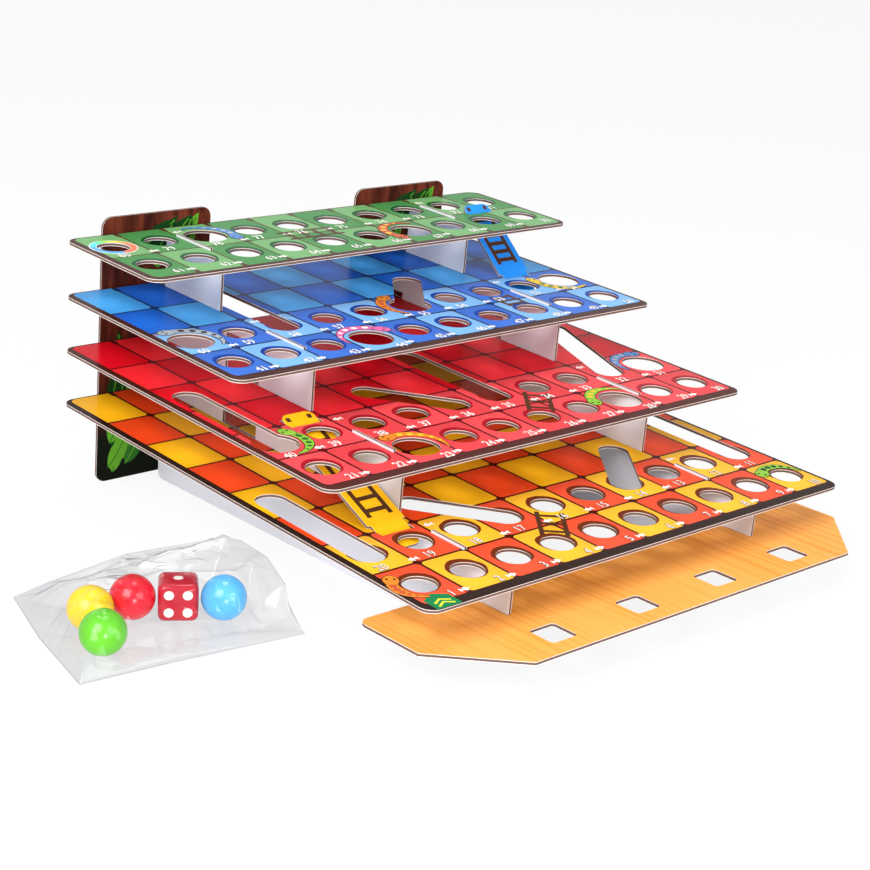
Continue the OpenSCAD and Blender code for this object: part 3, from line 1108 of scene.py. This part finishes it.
    def number(self, sheet: PrintedArt, value: int, x: float, y: float, colour: TierColour) -> None:
        """Print a cell's number, with an outline on the yellow tier.

        Args:
            sheet: Sheet that gets it.
            value: The number.
            x: Its middle across.
            y: Its middle to the rear.
            colour: Colour of its tier.
        """
        outlined = colour is TierColour.YELLOW
        if outlined:
            sheet.text(str(value), x, y, self.type_h, Inks.OUTLINE, Layer.MIDDLE, self.type_squeeze,
                       self.outline_swell)
        sheet.text(str(value), x, y, self.type_h, Inks.WHITE, Layer.HIGH, self.type_squeeze,
                   0.0 if outlined else self.type_swell)

    def arrow(self, sheet: PrintedArt, x: float, y: float, way: int) -> None:
        """Print an arrow with a flared tail.

        Args:
            sheet: Sheet that gets it.
            x: Its middle across.
            y: Its middle to the rear.
            way: 1 to point along the board's width and -1 against it.
        """
        tip = self.arrow_l / 2 * way
        flare = -tip + self.arrow_flare * way
        upper = [(0, self.arrow_w / 2), (0, self.arrow_shaft / 2), (flare, self.arrow_shaft / 2),
                 (-tip, self.arrow_tail / 2)]
        points = [(tip, 0), *upper, *((px, -py) for px, py in reversed(upper))]
        sheet.patch([(x + px, y + py) for px, py in points], Inks.WHITE, Layer.LOW)

    def draw_snake(self, snake: Snake, name: str, colour: TierColour) -> None:
        """Print a snake round its hole.

        Args:
            snake: The snake.
            name: Name of its piece.
            colour: Colour of its tier.
        """
        sheet = self.art(snake.tier, list(dict.fromkeys((snake.body, snake.marks, Inks.OUTLINE, Inks.RUST))))
        hole_r = self.drop_r if snake.tier else self.seat_r
        self.figure.draw(sheet, snake, self.slope.cell(snake.column, snake.row), hole_r)
        sheet.build(name, "stand", f"{colour.label}_print")

    def draw_ladder(self, ladder: LadderPrint, colour: TierColour) -> None:
        """Print a flat ladder, as far as the rims of the holes that it joins.

        Args:
            ladder: The ladder.
            colour: Colour of its tier.
        """
        sheet = self.art(ladder.tier, (Inks.BROWN,))
        foot, head = (Vector(self.slope.cell(*end)) for end in (ladder.foot, ladder.head))
        short = (head - foot).normalized() * (self.seat_r + self.ladder_gap if ladder.joins_holes else 0.0)
        sheet.ladder(foot + short, head - short, self.ladder_w, ladder.rungs, Inks.BROWN, self.ladder_bar)
        sheet.build(f"{colour.label}_tier_ladder_print", "stand", f"{colour.label}_print")

    def draw_start(self) -> None:
        """Print the start sign, a house shape with chevrons, on the first cell."""
        sheet = self.art(0, (Inks.SIGN, Inks.CHEVRON))
        x, y = self.slope.cell(0, self.slope.rows(0) - 1)
        x += self.sign_x
        y += self.sign_y
        half, wall, roof = self.sign_w / 2, self.sign_wall, self.sign_roof
        sheet.patch([(x - half, y), (x + half, y), (x + half, y + wall), (x, y + roof), (x - half, y + wall)],
                    Inks.SIGN, Layer.PAPER)
        for k in range(self.chevrons):
            low = y + self.chevron_low + self.chevron_step * k
            path = [(x - self.chevron_half, low), (x, low + self.chevron_rise), (x + self.chevron_half, low)]
            sheet.band(path, [self.chevron_w] * len(path), Inks.CHEVRON, Layer.LOW)
        sheet.build("start_sign_print", "stand", "yellow_print")

    def draw_finish(self) -> None:
        """Print the rainbow ring on its white rim, round the last hole."""
        top = self.slope.tiers - 1
        x, y = self.slope.cell(*self.finish)
        rim = self.art(top, (Inks.WHITE,))
        rim.ring(x, y, self.seat_r + self.rim_gap, self.seat_r + self.ring_w + self.ring_gap, Inks.WHITE,
                 Layer.PAPER)
        rim.build("finish_ring_rim", "stand", "green_print")
        ring = self.art(top, (Inks.WHITE,))
        ring.ring(x, y, self.seat_r + self.ring_gap, self.seat_r + self.ring_w, Inks.WHITE, Layer.LOW)
        piece = ring.build("finish_ring_print", "stand", "green_print")
        piece.data.materials[0] = FinishRing().material(self.slope.place(x, y, self.slope.top(top)))


@dataclass
class Stand:
    """The supports, the rear posts with their leaf print, and the ball tray."""

    slope: Slope
    support_x: float = 60.0
    support_print: PlainPrint = PlainPrint("#E3E2E8", "#D6D5DC", 30.0)
    post_setback: float = 4.2
    post_w: float = 48.0
    # Leaves strewn on the posts: the first low_leaves lie near the table, and the rest above
    seed: int = 7
    leaves: int = 44
    low_leaves: int = 36
    low_leaf_l: Span = (14.0, 22.0)
    high_leaf_l: Span = (8.0, 13.0)
    low_leaf_y: Span = (-37.0, 0.0)
    high_leaf_from: float = 8.0
    leaf_top: float = 66.0
    leaf_turn: Span = (math.radians(55), math.radians(125))
    leaf_margin: float = 1.5
    stalk_margin: float = 3.0
    leaf_layer: float = 0.004
    # Form of a leaf: its width is a share of its length
    leaf_share: float = 0.42
    leaf_stretches: int = 10
    leaf_bend: float = 0.35
    leaf_tip: float = 0.15
    leaf_belly: float = 0.8
    rib_w: float = 0.45
    # Leaves at the posts' tops: place of the stalk, direction and ink
    top_leaf_l: float = 19.0
    top_leaves: tuple[tuple[float, float, float, Ink], ...] = (
        (-7.0, 55.0, math.radians(32), Inks.LEAF_DARK),
        (3.0, 51.0, math.radians(50), Inks.LEAF_DARK),
        (12.0, 49.0, math.radians(64), Inks.LEAF_PALE),
    )

    def build(self, nodes: dict[str, bpy.types.Object]) -> None:
        """Dress the cards and print the leaves.

        Args:
            nodes: Objects of the frame, by name.
        """
        for side, name in ((-1, "left"), (1, "right")):
            middle = self.slope.place(side * self.support_x)
            coat(nodes[f"{name}_support"], Greyboard().dress(f"{name}_white_card", middle, Axis.X,
                                                             self.support_print.draw, both_faces=True))
            middle = self.slope.place(side * self.support_x, self.post_setback + self.slope.card / 2)
            coat(nodes[f"{name}_post"], Greyboard().dress(f"{name}_bark_card", middle, Axis.Y,
                                                          BarkPrint().draw, both_faces=True))
            self.print_leaves(side, name)
        low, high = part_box("ball_tray")
        middle = Matrix.Translation((low + high) / 2) @ Matrix.Scale(MM, 4)
        coat(nodes["ball_tray"], Greyboard().dress("wood_printed_card", middle, Axis.Z, WoodPrint().draw))

    def print_leaves(self, side: int, name: str) -> None:
        """Print leaves on a post's front and rear, thick near the table and sparse above.

        Args:
            side: -1 for the left post and 1 for the right one.
            name: Its name.
        """
        dice = random.Random(self.seed)
        upright = Matrix.Rotation(math.pi / 2, 4, "X")
        front = self.slope.place(side * self.support_x, self.post_setback) @ upright
        rear = (self.slope.place(side * self.support_x, self.post_setback + self.slope.card)
                @ Matrix.Rotation(math.pi, 4, "Z") @ upright)
        greens = (Inks.LEAF_DARK, Inks.LEAF, Inks.LEAF_PALE)
        stalks = self.post_w / 2 - self.leaf_margin - self.stalk_margin
        for face, place in (("front", front), ("rear", rear)):
            sheet = PrintedArt(place, greens, self.leaf_layer)
            for x, y, turn, ink in self.top_leaves:
                self.leaf(sheet, x, y, self.top_leaf_l, turn, ink, 0)
            for k in range(self.leaves):
                low = k < self.low_leaves
                length = dice.uniform(*(self.low_leaf_l if low else self.high_leaf_l))
                turn = dice.uniform(*self.leaf_turn)
                x = dice.uniform(-stalks, stalks)
                y = dice.uniform(*(self.low_leaf_y if low else (self.high_leaf_from, self.leaf_top - length)))
                self.leaf(sheet, x, y, length, turn, greens[k % len(greens)], k)
            sheet.build(f"{name}_post_{face}_leaves", "stand", "bark_print")

    def leaf(self, sheet: PrintedArt, x: float, y: float, length: float, turn: float, ink: Ink,
             layer: int) -> None:
        """Print one pointed leaf with a midrib, kept within the post's sides.

        Args:
            sheet: Sheet that gets it.
            x: Place of its stalk across.
            y: Place of its stalk upward.
            length: Its length.
            turn: Its direction.
            ink: Its green.
            layer: Its place in the pile of leaves.
        """
        bend = self.leaf_bend if x < 0 else -self.leaf_bend
        shares = [k / self.leaf_stretches for k in range(self.leaf_stretches + 1)]
        stretch = length / self.leaf_stretches
        path = [(x, y)]
        for share in shares[1:]:
            angle = turn + bend * (share - 0.5)
            px, py = path[-1]
            path.append((px + stretch * math.cos(angle), py + stretch * math.sin(angle)))
        widths = [self.leaf_tip + length * self.leaf_share * math.sin(math.pi * share ** self.leaf_belly)
                  for share in shares]
        inside = self.post_w / 2 - self.leaf_margin - max(widths) / 2
        shift = max(0, max(p[0] for p in path) - inside) + min(0, min(p[0] for p in path) + inside)
        path = [(px - shift, py) for px, py in path]
        sheet.band(path, widths, ink, layer)
        rib = Inks.LEAF_PALE if ink is not Inks.LEAF_PALE else Inks.LEAF
        sheet.band(path[:-1], [self.rib_w] * self.leaf_stretches, rib, layer + 1)


@dataclass(frozen=True)
class Strip:
    """A loose ladder strip that leans between two tiers, with its foot and head on lines of the cells."""

    name: str
    body: str
    slot: str
    tier: int
    column: float
    low_row: float
    high_row: float
    colour: PlainPrint
    rung_step: float
    card: float = 1.0
    liner_depth: float = 0.2
    ladder_w: float = 9.0
    ladder_foot: float = 6.5
    ladder_over: float = 3.0
    bar_w: float = 1.8

    def build(self, slope: Slope, nodes: dict[str, bpy.types.Object]) -> None:
        """Dress the strip and print its ladder on the upper face.

        Args:
            slope: Frame of the tiers.
            nodes: Objects of the frame, by name.
        """
        reach = (self.low_row - self.high_row) * slope.cell_d
        lean = math.atan2(slope.rise, reach)
        run = math.hypot(slope.rise, reach)
        middle = slope.place((self.column - slope.columns / 2) * slope.cell_w, -self.low_row * slope.cell_d,
                             slope.top(self.tier) - slope.card / 2, lean)
        board = Greyboard(thickness=self.card, liner_depth=self.liner_depth)
        coat(nodes[self.name], board.dress(f"{self.name}_card", middle, Axis.Z, self.colour.draw))
        sheet = PrintedArt(middle @ Matrix.Translation((0, 0, self.card / 2)), (Inks.BROWN,))
        top = run - self.bar_w
        rungs = round((top - self.ladder_foot) / self.rung_step)
        sheet.ladder((0, self.ladder_foot), (0, top), self.ladder_w, rungs, Inks.BROWN, self.bar_w)
        # The rails go on over the tongue that stands out of the upper tier's slit
        for rail in (-self.ladder_w / 2, self.ladder_w / 2):
            sheet.bar((rail, run + self.card), (rail, run + self.ladder_over), self.bar_w, Inks.BROWN)
        sheet.build(f"{self.name}_print", self.body, self.slot)


@dataclass(frozen=True)
class Plastic:
    """Injection-moulded plastic, by default polyethylene."""

    # The eye gets an even bright colour with faint clouds from the flow in the mould, under a soft gloss.
    name: str
    colour: str
    deep: str
    gloss: float = 0.22
    cloud: float = 9.0
    detail: float = 1.0
    ior: float = 1.51
    through: float = 0.0

    def material(self) -> bpy.types.Material:
        """Make the plastic.

        Returns:
            The material.
        """
        material, tree, shader = new_material(self.name)
        coords = add_node(tree, "TexCoord")
        swirl = add_node(tree, "TexNoise", {"Vector": coords.outputs["Object"],
                                            "Scale": 1 / (self.cloud * MM), "Detail": self.detail})
        tone = add_node(tree, "Mix", {SHARE: swirl, COLOUR_A: linear(self.colour),
                                      COLOUR_B: linear(self.deep)}, data_type="RGBA")
        feed(tree, shader, {"Base Color": tone.outputs[MIXED], "Roughness": self.gloss, "IOR": self.ior,
                            "Transmission Weight": self.through})
        return material


@dataclass(frozen=True)
class ClearFilm:
    """Thin clear polypropylene film, welded at its edges."""

    # The eye looks through it where it lies flat, and gets grey and bright streaks where creases turn away.
    # The grey is the film's haze with painted shade: its see-through colour darkens at steep angles in place
    # of the darker surroundings that the film would mirror.
    name: str = "clear_film"
    through: str = "#FBFBFB"
    # See-through colour at steep angles: the film's haze with painted shade, for dark surroundings mirrored
    # in it
    steep: str = "#DEDEE1"
    gloss: float = 0.07
    turn_blend: float = 0.35
    shine_from: float = 0.4
    least_shine: float = 0.03
    most_shine: float = 0.35

    def material(self) -> bpy.types.Material:
        """Make the film.

        Returns:
            The material.
        """
        material, tree, shader = new_material(self.name)
        turned = add_node(tree, "LayerWeight", {"Blend": self.turn_blend}).outputs["Facing"]
        tint = add_node(tree, "Mix", {SHARE: turned, COLOUR_A: linear(self.through),
                                      COLOUR_B: linear(self.steep)}, data_type="RGBA").outputs[MIXED]
        clear = add_node(tree, "BsdfTransparent", {"Color": tint})
        mirror = add_node(tree, "BsdfGlossy", {"Roughness": self.gloss})
        share = add_node(tree, "MapRange", {"Value": turned, "From Min": self.shine_from,
                                            "To Min": self.least_shine, "To Max": self.most_shine})
        film = add_node(tree, "MixShader", {0: share, 1: clear, 2: mirror})
        feed(tree, tree.nodes["Material Output"], {"Surface": film})
        tree.nodes.remove(shader)
        return material


@dataclass
class PlayingPieces:
    """The four balls and the die."""

    seam: float = 0.04
    seam_w: float = 0.5
    seam_turn: float = math.radians(35)
    seam_lean: float = math.radians(20)
    segments: int = 64
    die_w: float = 13.0
    die_edge: float = 2.2
    die_edge_steps: int = 6
    die_turn: float = math.radians(-34)
    pip_r: float = 1.6
    pip_h: float = 0.06
    pip_step: float = 3.0
    pip_segments: int = 24
    balls: tuple[Plastic, ...] = (
        Plastic("yellow_plastic", "#FFE008", "#FFD000"),
        Plastic("red_plastic", "#F2082C", "#E00624"),
        Plastic("green_plastic", "#66C814", "#54B80C"),
        Plastic("blue_plastic", "#5CBAF4", "#47ABEC"),
    )
    # Tinted acrylic: light goes a little way in, so that the block glows redder than its surface
    die_plastic: Plastic = Plastic("red_acrylic", "#DF1434", "#BA0E28", gloss=0.07, cloud=8.0, detail=2.0,
                                   ior=1.49, through=0.25)
    # Pips of each face, and the quarter turns about X and Y that lead to it from the upper face
    die_faces: tuple[tuple[int, int, int], ...] = ((1, 0, 0), (6, 2, 0), (4, 1, 0), (3, -1, 0), (2, 0, 1),
                                                   (5, 0, -1))

    def build(self) -> None:
        """Make the balls and the die."""
        for plastic in self.balls:
            self.ball(f"{plastic.name.split('_')[0]}_ball", plastic)
        self.die()

    def ball(self, node: str, plastic: Plastic) -> None:
        """Make a moulded ball with the faint parting line of its two half moulds.

        Args:
            node: Node that it stands for, and the body that carries it.
            plastic: Its finish.
        """
        low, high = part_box(node)
        radius = (high.x - low.x) / 2
        shape = bmesh.new()
        bmesh.ops.create_uvsphere(shape, u_segments=self.segments, v_segments=self.segments // 2,
                                  radius=radius - self.seam * MM)
        for vert in shape.verts:
            if abs(vert.co.z) < self.seam_w * MM:
                vert.co *= radius / (radius - self.seam * MM)
        lean = Matrix.Rotation(self.seam_turn, 4, "Y") @ Matrix.Rotation(self.seam_lean, 4, "X")
        bmesh.ops.transform(shape, matrix=Matrix.Translation((low + high) / 2) @ lean, verts=shape.verts[:])
        piece = make_piece(shape, f"{node}_moulding", node, [plastic.material()], smooth=True)
        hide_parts(node)

    def die(self) -> None:
        """Make the die's rounded block and its painted pips."""
        low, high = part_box("die")
        place = Matrix.Translation((low + high) / 2) @ Matrix.Rotation(self.die_turn, 4, "Z")
        shape = bmesh.new()
        bmesh.ops.create_cube(shape, size=self.die_w * MM)
        bmesh.ops.bevel(shape, geom=shape.edges[:] + shape.verts[:], offset=self.die_edge * MM,
                        offset_type="OFFSET", affect="EDGES", segments=self.die_edge_steps, profile=0.5,
                        material=-1)
        bmesh.ops.transform(shape, matrix=place, verts=shape.verts[:])
        block = make_piece(shape, "die_block", "die", [self.die_plastic.material()],
                           smooth=True)
        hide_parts("die")
        spots = bmesh.new()
        drop = Matrix.Diagonal((self.pip_r * MM, self.pip_r * MM, self.pip_h * MM, 1))
        for count, over, aside in self.die_faces:
            face = (place @ Matrix.Rotation(aside * math.pi / 2, 4, "Y")
                    @ Matrix.Rotation(over * math.pi / 2, 4, "X"))
            for x, y in self.pips(count):
                spot = Vector((x * self.pip_step, y * self.pip_step, self.die_w / 2)) * MM
                bmesh.ops.create_uvsphere(spots, u_segments=self.pip_segments,
                                          v_segments=self.pip_segments // 2, radius=1,
                                          matrix=face @ Matrix.Translation(spot) @ drop)
        make_piece(spots, "die_pips", "die", [Inks.WHITE.material()], smooth=True)

    def pips(self, count: int) -> list[tuple[int, int]]:
        """Places of a face's pips on a three by three grid.

        Args:
            count: Number of pips.
        Returns:
            Steps across and upward from the middle.
        """
        spots = [(0, 0)] if count % 2 else []
        if count > 1:
            spots += [(-1, -1), (1, 1)]
        if count > 3:
            spots += [(-1, 1), (1, -1)]
        if count == 6:
            spots += [(0, -1), (0, 1)]
        return spots


@dataclass
class Bag:
    """The clear bag: two films sealed round their edge, drawn over the pieces and crumpled.

    Each side of the edge passes points that are shares of half the length, half the width and the height.
    """

    length: float = 78.0
    width: float = 68.0
    height: float = 16.0
    turn: float = math.radians(-7)
    left: float = 9.5
    back: float = 3.7
    seal: float = 0.6
    front_side: tuple[Triple, ...] = ((-1.0, -1.0, 0.0), (-0.2, -0.98, 0.0), (1.0, -1.0, 0.0))
    right_side: tuple[Triple, ...] = ((1.0, -1.0, 0.0), (0.99, -0.74, 0.17), (1.02, -0.57, 0.72),
                                      (1.05, -0.16, 0.98), (1.0, 0.26, 1.05), (0.92, 0.4, 1.05))
    rear_side: tuple[Triple, ...] = ((-0.84, 0.9, 0.12), (-0.46, 1.02, 0.2), (0.19, 0.89, 0.62),
                                     (0.92, 0.4, 1.05))
    left_side: tuple[Triple, ...] = ((-1.0, -1.0, 0.0), (-0.95, 0.0, 0.05), (-0.84, 0.9, 0.12))
    cells_x: int = 156
    cells_y: int = 136
    # Room round the pieces, and height of the lower film
    skin: float = 0.4
    floor: float = 0.2
    # Distances from the edge where the lower film has sunk and where the creases have their full height
    rise_in: float = 18.0
    flat_rim: float = 5.0
    # Number of points of each creased sheet, and its height
    facets: tuple[tuple[int, float], ...] = ((60, 4.0), (420, 1.8))
    facet_reach: float = 0.6
    facet_merge: float = 1e-6
    weld: float = 0.02
    ball_steps: int = 3
    seed: int = 11
    balls: tuple[str, ...] = ("yellow_ball", "red_ball", "green_ball", "blue_ball")

    def along(self, side: Sequence[Triple], count: int) -> list[Vector]:
        """Evenly spaced points along one side of the sealed edge.

        Args:
            side: Points that it passes.
            count: Number of stretches.
        Returns:
            The points, in millimetres from the bag's middle.
        """
        half = Vector((self.length / 2, self.width / 2, self.height))
        knots = [Vector(share) * half + Vector((0, 0, self.seal)) for share in side]
        spans = [(b - a).length for a, b in zip(knots, knots[1:])]
        points = []
        for k in range(count + 1):
            left = sum(spans) * k / count
            i = 0
            while i < len(spans) - 1 and left > spans[i]:
                left -= spans[i]
                i += 1
            points.append(knots[i].lerp(knots[i + 1], left / spans[i]))
        return points

    def tent(self, place: Matrix, rim: Sequence[Vector]) -> tuple[BVHTree, BVHTree]:
        """Taut film over the pieces: the hull of the balls, the die and the sealed edge.

        Args:
            place: Matrix of the bag's middle.
            rim: Points of the sealed edge.
        Returns:
            Trees to find the height of the pieces and of the film with.
        """
        hull = bmesh.new()
        for node in self.balls:
            low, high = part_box(node)
            bmesh.ops.create_icosphere(hull, subdivisions=self.ball_steps,
                                       radius=(high.x - low.x) / 2 + self.skin * MM,
                                       matrix=Matrix.Translation((low + high) / 2))
        low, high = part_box("die")
        block = Matrix.Translation((low + high) / 2) @ Matrix.Rotation(PlayingPieces.die_turn, 4, "Z")
        bmesh.ops.create_cube(hull, size=(high.z - low.z) + self.skin * MM, matrix=block)
        inside = BVHTree.FromBMesh(hull)
        for point in rim:
            hull.verts.new(place @ point)
        bmesh.ops.convex_hull(hull, input=hull.verts[:])
        tent = BVHTree.FromBMesh(hull)
        hull.free()
        return inside, tent

    def crumple(self, dice: random.Random, count: int, height: float) -> BVHTree:
        """Creased sheet of flat facets between random points.

        Args:
            dice: Source of the points.
            count: Number of points.
            height: Height of the highest over the lowest.
        Returns:
            A tree to find the sheet's height with.
        """
        reach = Vector((self.length, self.width)) * self.facet_reach
        spots = [Vector((x, y)) for x in (-reach.x, reach.x) for y in (-reach.y, reach.y)]
        spots += [Vector((dice.uniform(-reach.x, reach.x), dice.uniform(-reach.y, reach.y)))
                  for _ in range(count)]
        flat, _, faces, *_ = geometry.delaunay_2d_cdt(spots, [], [], 0, self.facet_merge)
        return BVHTree.FromPolygons([(v.x, v.y, dice.uniform(-height, height) / 2) for v in flat], faces)

    def build(self) -> None:
        """Make the two films and join them round their edge."""
        low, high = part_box("die")
        middle = (low + high) / 2
        at = Vector((middle.x - self.left * MM, middle.y + self.back * MM, 0))
        place = Matrix.Translation(at) @ Matrix.Rotation(self.turn, 4, "Z") @ Matrix.Scale(MM, 4)
        front, rear = (self.along(side, self.cells_x) for side in (self.front_side, self.rear_side))
        left, right = (self.along(side, self.cells_y) for side in (self.left_side, self.right_side))
        inside, tent = self.tent(place, front + rear + left + right)
        dice = random.Random(self.seed)
        creased = [self.crumple(dice, count, height) for count, height in self.facets]
        down = Vector((0, 0, -1))
        shape = bmesh.new()
        for upper in (False, True):
            # A unit grid: each point goes where the four sides of the edge bring it
            made = bmesh.ops.create_grid(shape, x_segments=self.cells_x, y_segments=self.cells_y, size=0.5)
            for vert in made["verts"]:
                s, t = vert.co.x + 0.5, vert.co.y + 0.5
                i, j = round(s * self.cells_x), round(t * self.cells_y)
                point = front[i].lerp(rear[i], t) + left[j].lerp(right[j], s)
                point -= front[0].lerp(front[-1], s).lerp(rear[0].lerp(rear[-1], s), t)
                inner = min(min(s, 1 - s) * self.length, min(t, 1 - t) * self.width)
                if inner > 0:
                    above = Vector((point.x, point.y, self.length))
                    rough = sum(sheet.ray_cast(above, down)[0].z for sheet in creased)
                    rough *= min(1.0, inner / self.flat_rim)
                if upper and inner > 0:
                    taut, least = (tree.ray_cast(place @ above, down)[0] for tree in (tent, inside))
                    point.z = (taut.z / MM if taut else point.z) + rough
                    point.z = max(point.z, self.seal, least.z / MM if least else 0.0)
                elif inner > 0:
                    # The lower film sinks to the table in a smooth step
                    sunk = min(1.0, inner / self.rise_in)
                    point.z += (self.floor - point.z) * sunk * sunk * (3 - 2 * sunk)
                    point.z = max(point.z + self.floor * rough, self.floor / 2)
                vert.co = place @ point
        bmesh.ops.remove_doubles(shape, verts=shape.verts[:], dist=self.weld * MM)
        bmesh.ops.recalc_face_normals(shape, faces=shape.faces[:])
        if shape.calc_volume(signed=True) < 0:
            bmesh.ops.reverse_faces(shape, faces=shape.faces[:])
        piece = make_piece(shape, "bag_film", "bag", [ClearFilm().material()], smooth=True)
        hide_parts("bag")


@dataclass(frozen=True)
class Lamp:
    """A square studio lamp that faces the game, in metres and watts."""

    name: str
    place: Triple
    size: float
    power: float


@dataclass
class Studio:
    """Pale floor, soft light and the camera. The eye is in millimetres from the slope's origin."""

    slope: Slope
    eye: Triple = (-446.8, -573.9, 215.3)
    azimuth: float = math.radians(-42.91)
    elevation: float = math.radians(18.45)
    roll: float = math.radians(3.484)
    focal_px: float = 1863.7
    floor_size: float = 6.0
    floor_colour: str = "#F6F6F7"
    floor_rough: float = 0.7
    floor_share: float = 0.87
    ambient: float = 0.52
    lamps: tuple[Lamp, ...] = (
        Lamp("key_lamp", (-1.0, -0.4, 0.85), 0.8, 18.0),
        Lamp("top_lamp", (0.1, 0.0, 1.2), 0.35, 2.5),
        Lamp("front_lamp", (0.15, -1.2, 0.5), 0.7, 6.0),
        Lamp("low_lamp", (-0.55, -1.15, 0.1), 0.18, 5.0),
    )

    def build(self) -> None:
        """Make the world, floor, lamps and camera."""
        bpy.context.scene.view_settings.view_transform = "Standard"
        self.light_world()
        self.lay_floor()
        for lamp in self.lamps:
            self.hang(lamp)
        self.aim_camera()

    def seen(self, tree: bpy.types.NodeTree) -> bpy.types.Node:
        """Mask of the rays that show the background: straight, mirrored or through glass.

        Args:
            tree: Node tree that asks.
        Returns:
            A node that is 1 for such rays.
        """
        path = add_node(tree, "LightPath")
        mirrored = add_node(tree, "Math", {0: path.outputs["Is Camera Ray"],
                                           1: path.outputs["Is Glossy Ray"]}, operation="MAXIMUM")
        return add_node(tree, "Math", {0: mirrored, 1: path.outputs["Is Transmission Ray"]},
                        operation="MAXIMUM")

    def light_world(self) -> None:
        """Make a white surround that lights the game softly."""
        world = bpy.data.worlds.new("studio")
        world.use_nodes = True
        bpy.context.scene.world = world
        tree = world.node_tree
        strength = add_node(tree, "MapRange", {"Value": self.seen(tree), "To Min": self.ambient,
                                               "To Max": 1.0})
        feed(tree, tree.nodes["Background"], {"Color": WHITE, "Strength": strength})

    def lay_floor(self) -> None:
        """Lay a white floor that keeps a soft part of the game's shadow."""
        shape = bmesh.new()
        bmesh.ops.create_grid(shape, x_segments=1, y_segments=1, size=self.floor_size / 2)
        mesh = bpy.data.meshes.new("floor")
        shape.to_mesh(mesh)
        shape.free()
        # White studio card: the eye gets nearly plain white, with the shadow as a faint grey
        material, tree, shader = new_material("white_floor")
        feed(tree, shader, {"Base Color": linear(self.floor_colour), "Roughness": self.floor_rough})
        share = add_node(tree, "Math", {0: self.seen(tree), 1: self.floor_share}, operation="MULTIPLY")
        glow = add_node(tree, "Emission", {"Color": WHITE, "Strength": 1.0})
        mixed = add_node(tree, "MixShader", {0: share, 1: shader, 2: glow})
        feed(tree, tree.nodes["Material Output"], {"Surface": mixed})
        mesh.materials.append(material)
        floor = bpy.data.objects.new("floor", mesh)
        bpy.context.scene.collection.objects.link(floor)

    def hang(self, lamp: Lamp) -> None:
        """Hang one lamp and face it to the game.

        Args:
            lamp: The lamp.
        """
        data = bpy.data.lights.new(lamp.name, "AREA")
        data.size = lamp.size
        data.energy = lamp.power
        hung = bpy.data.objects.new(lamp.name, data)
        hung.location = lamp.place
        hung.rotation_euler = (-Vector(lamp.place)).to_track_quat("-Z", "Y").to_euler()
        bpy.context.scene.collection.objects.link(hung)

    def aim_camera(self) -> None:
        """Stand the camera where the photograph was taken from."""
        back = Vector((math.sin(self.azimuth) * math.cos(self.elevation),
                       -math.cos(self.azimuth) * math.cos(self.elevation), math.sin(self.elevation)))
        level = Vector((math.cos(self.azimuth), math.sin(self.azimuth), 0))
        upright = back.cross(level)
        right = level * math.cos(self.roll) + upright * math.sin(self.roll)
        up = upright * math.cos(self.roll) - level * math.sin(self.roll)
        data = bpy.data.cameras.new("camera")
        data.sensor_width = SENSOR_MM
        data.lens = self.focal_px / PHOTO_PX * SENSOR_MM
        camera = bpy.data.objects.new("camera", data)
        turned = Matrix((right, up, back)).transposed().to_4x4()
        camera.matrix_world = Matrix.Translation(self.slope.origin + Vector(self.eye) * MM) @ turned
        bpy.context.scene.collection.objects.link(camera)
        bpy.context.scene.camera = camera


def main() -> None:
    """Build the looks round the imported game."""
    logging.basicConfig(level=logging.INFO, format="%(name)s: %(message)s")
    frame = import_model()
    nodes = frame["nodes"]
    slope = Slope()
    Studio(slope).build()
    Board(slope).build(nodes)
    Stand(slope).build(nodes)
    Strip("yellow_ladder", body="yellow_strip", slot="yellow_strip", tier=0, column=1.53, low_row=6,
          high_row=4, colour=PlainPrint("#FFC61E", "#F6B516"), rung_step=6.0).build(slope, nodes)
    Strip("blue_ladder", body="blue_strip", slot="blue_strip", tier=2, column=8.88, low_row=2,
          high_row=1, colour=PlainPrint("#2E90EA", "#2583DE"), rung_step=4.2).build(slope, nodes)
    PlayingPieces().build()
    Bag().build()


if __name__ == "__main__":
    main()
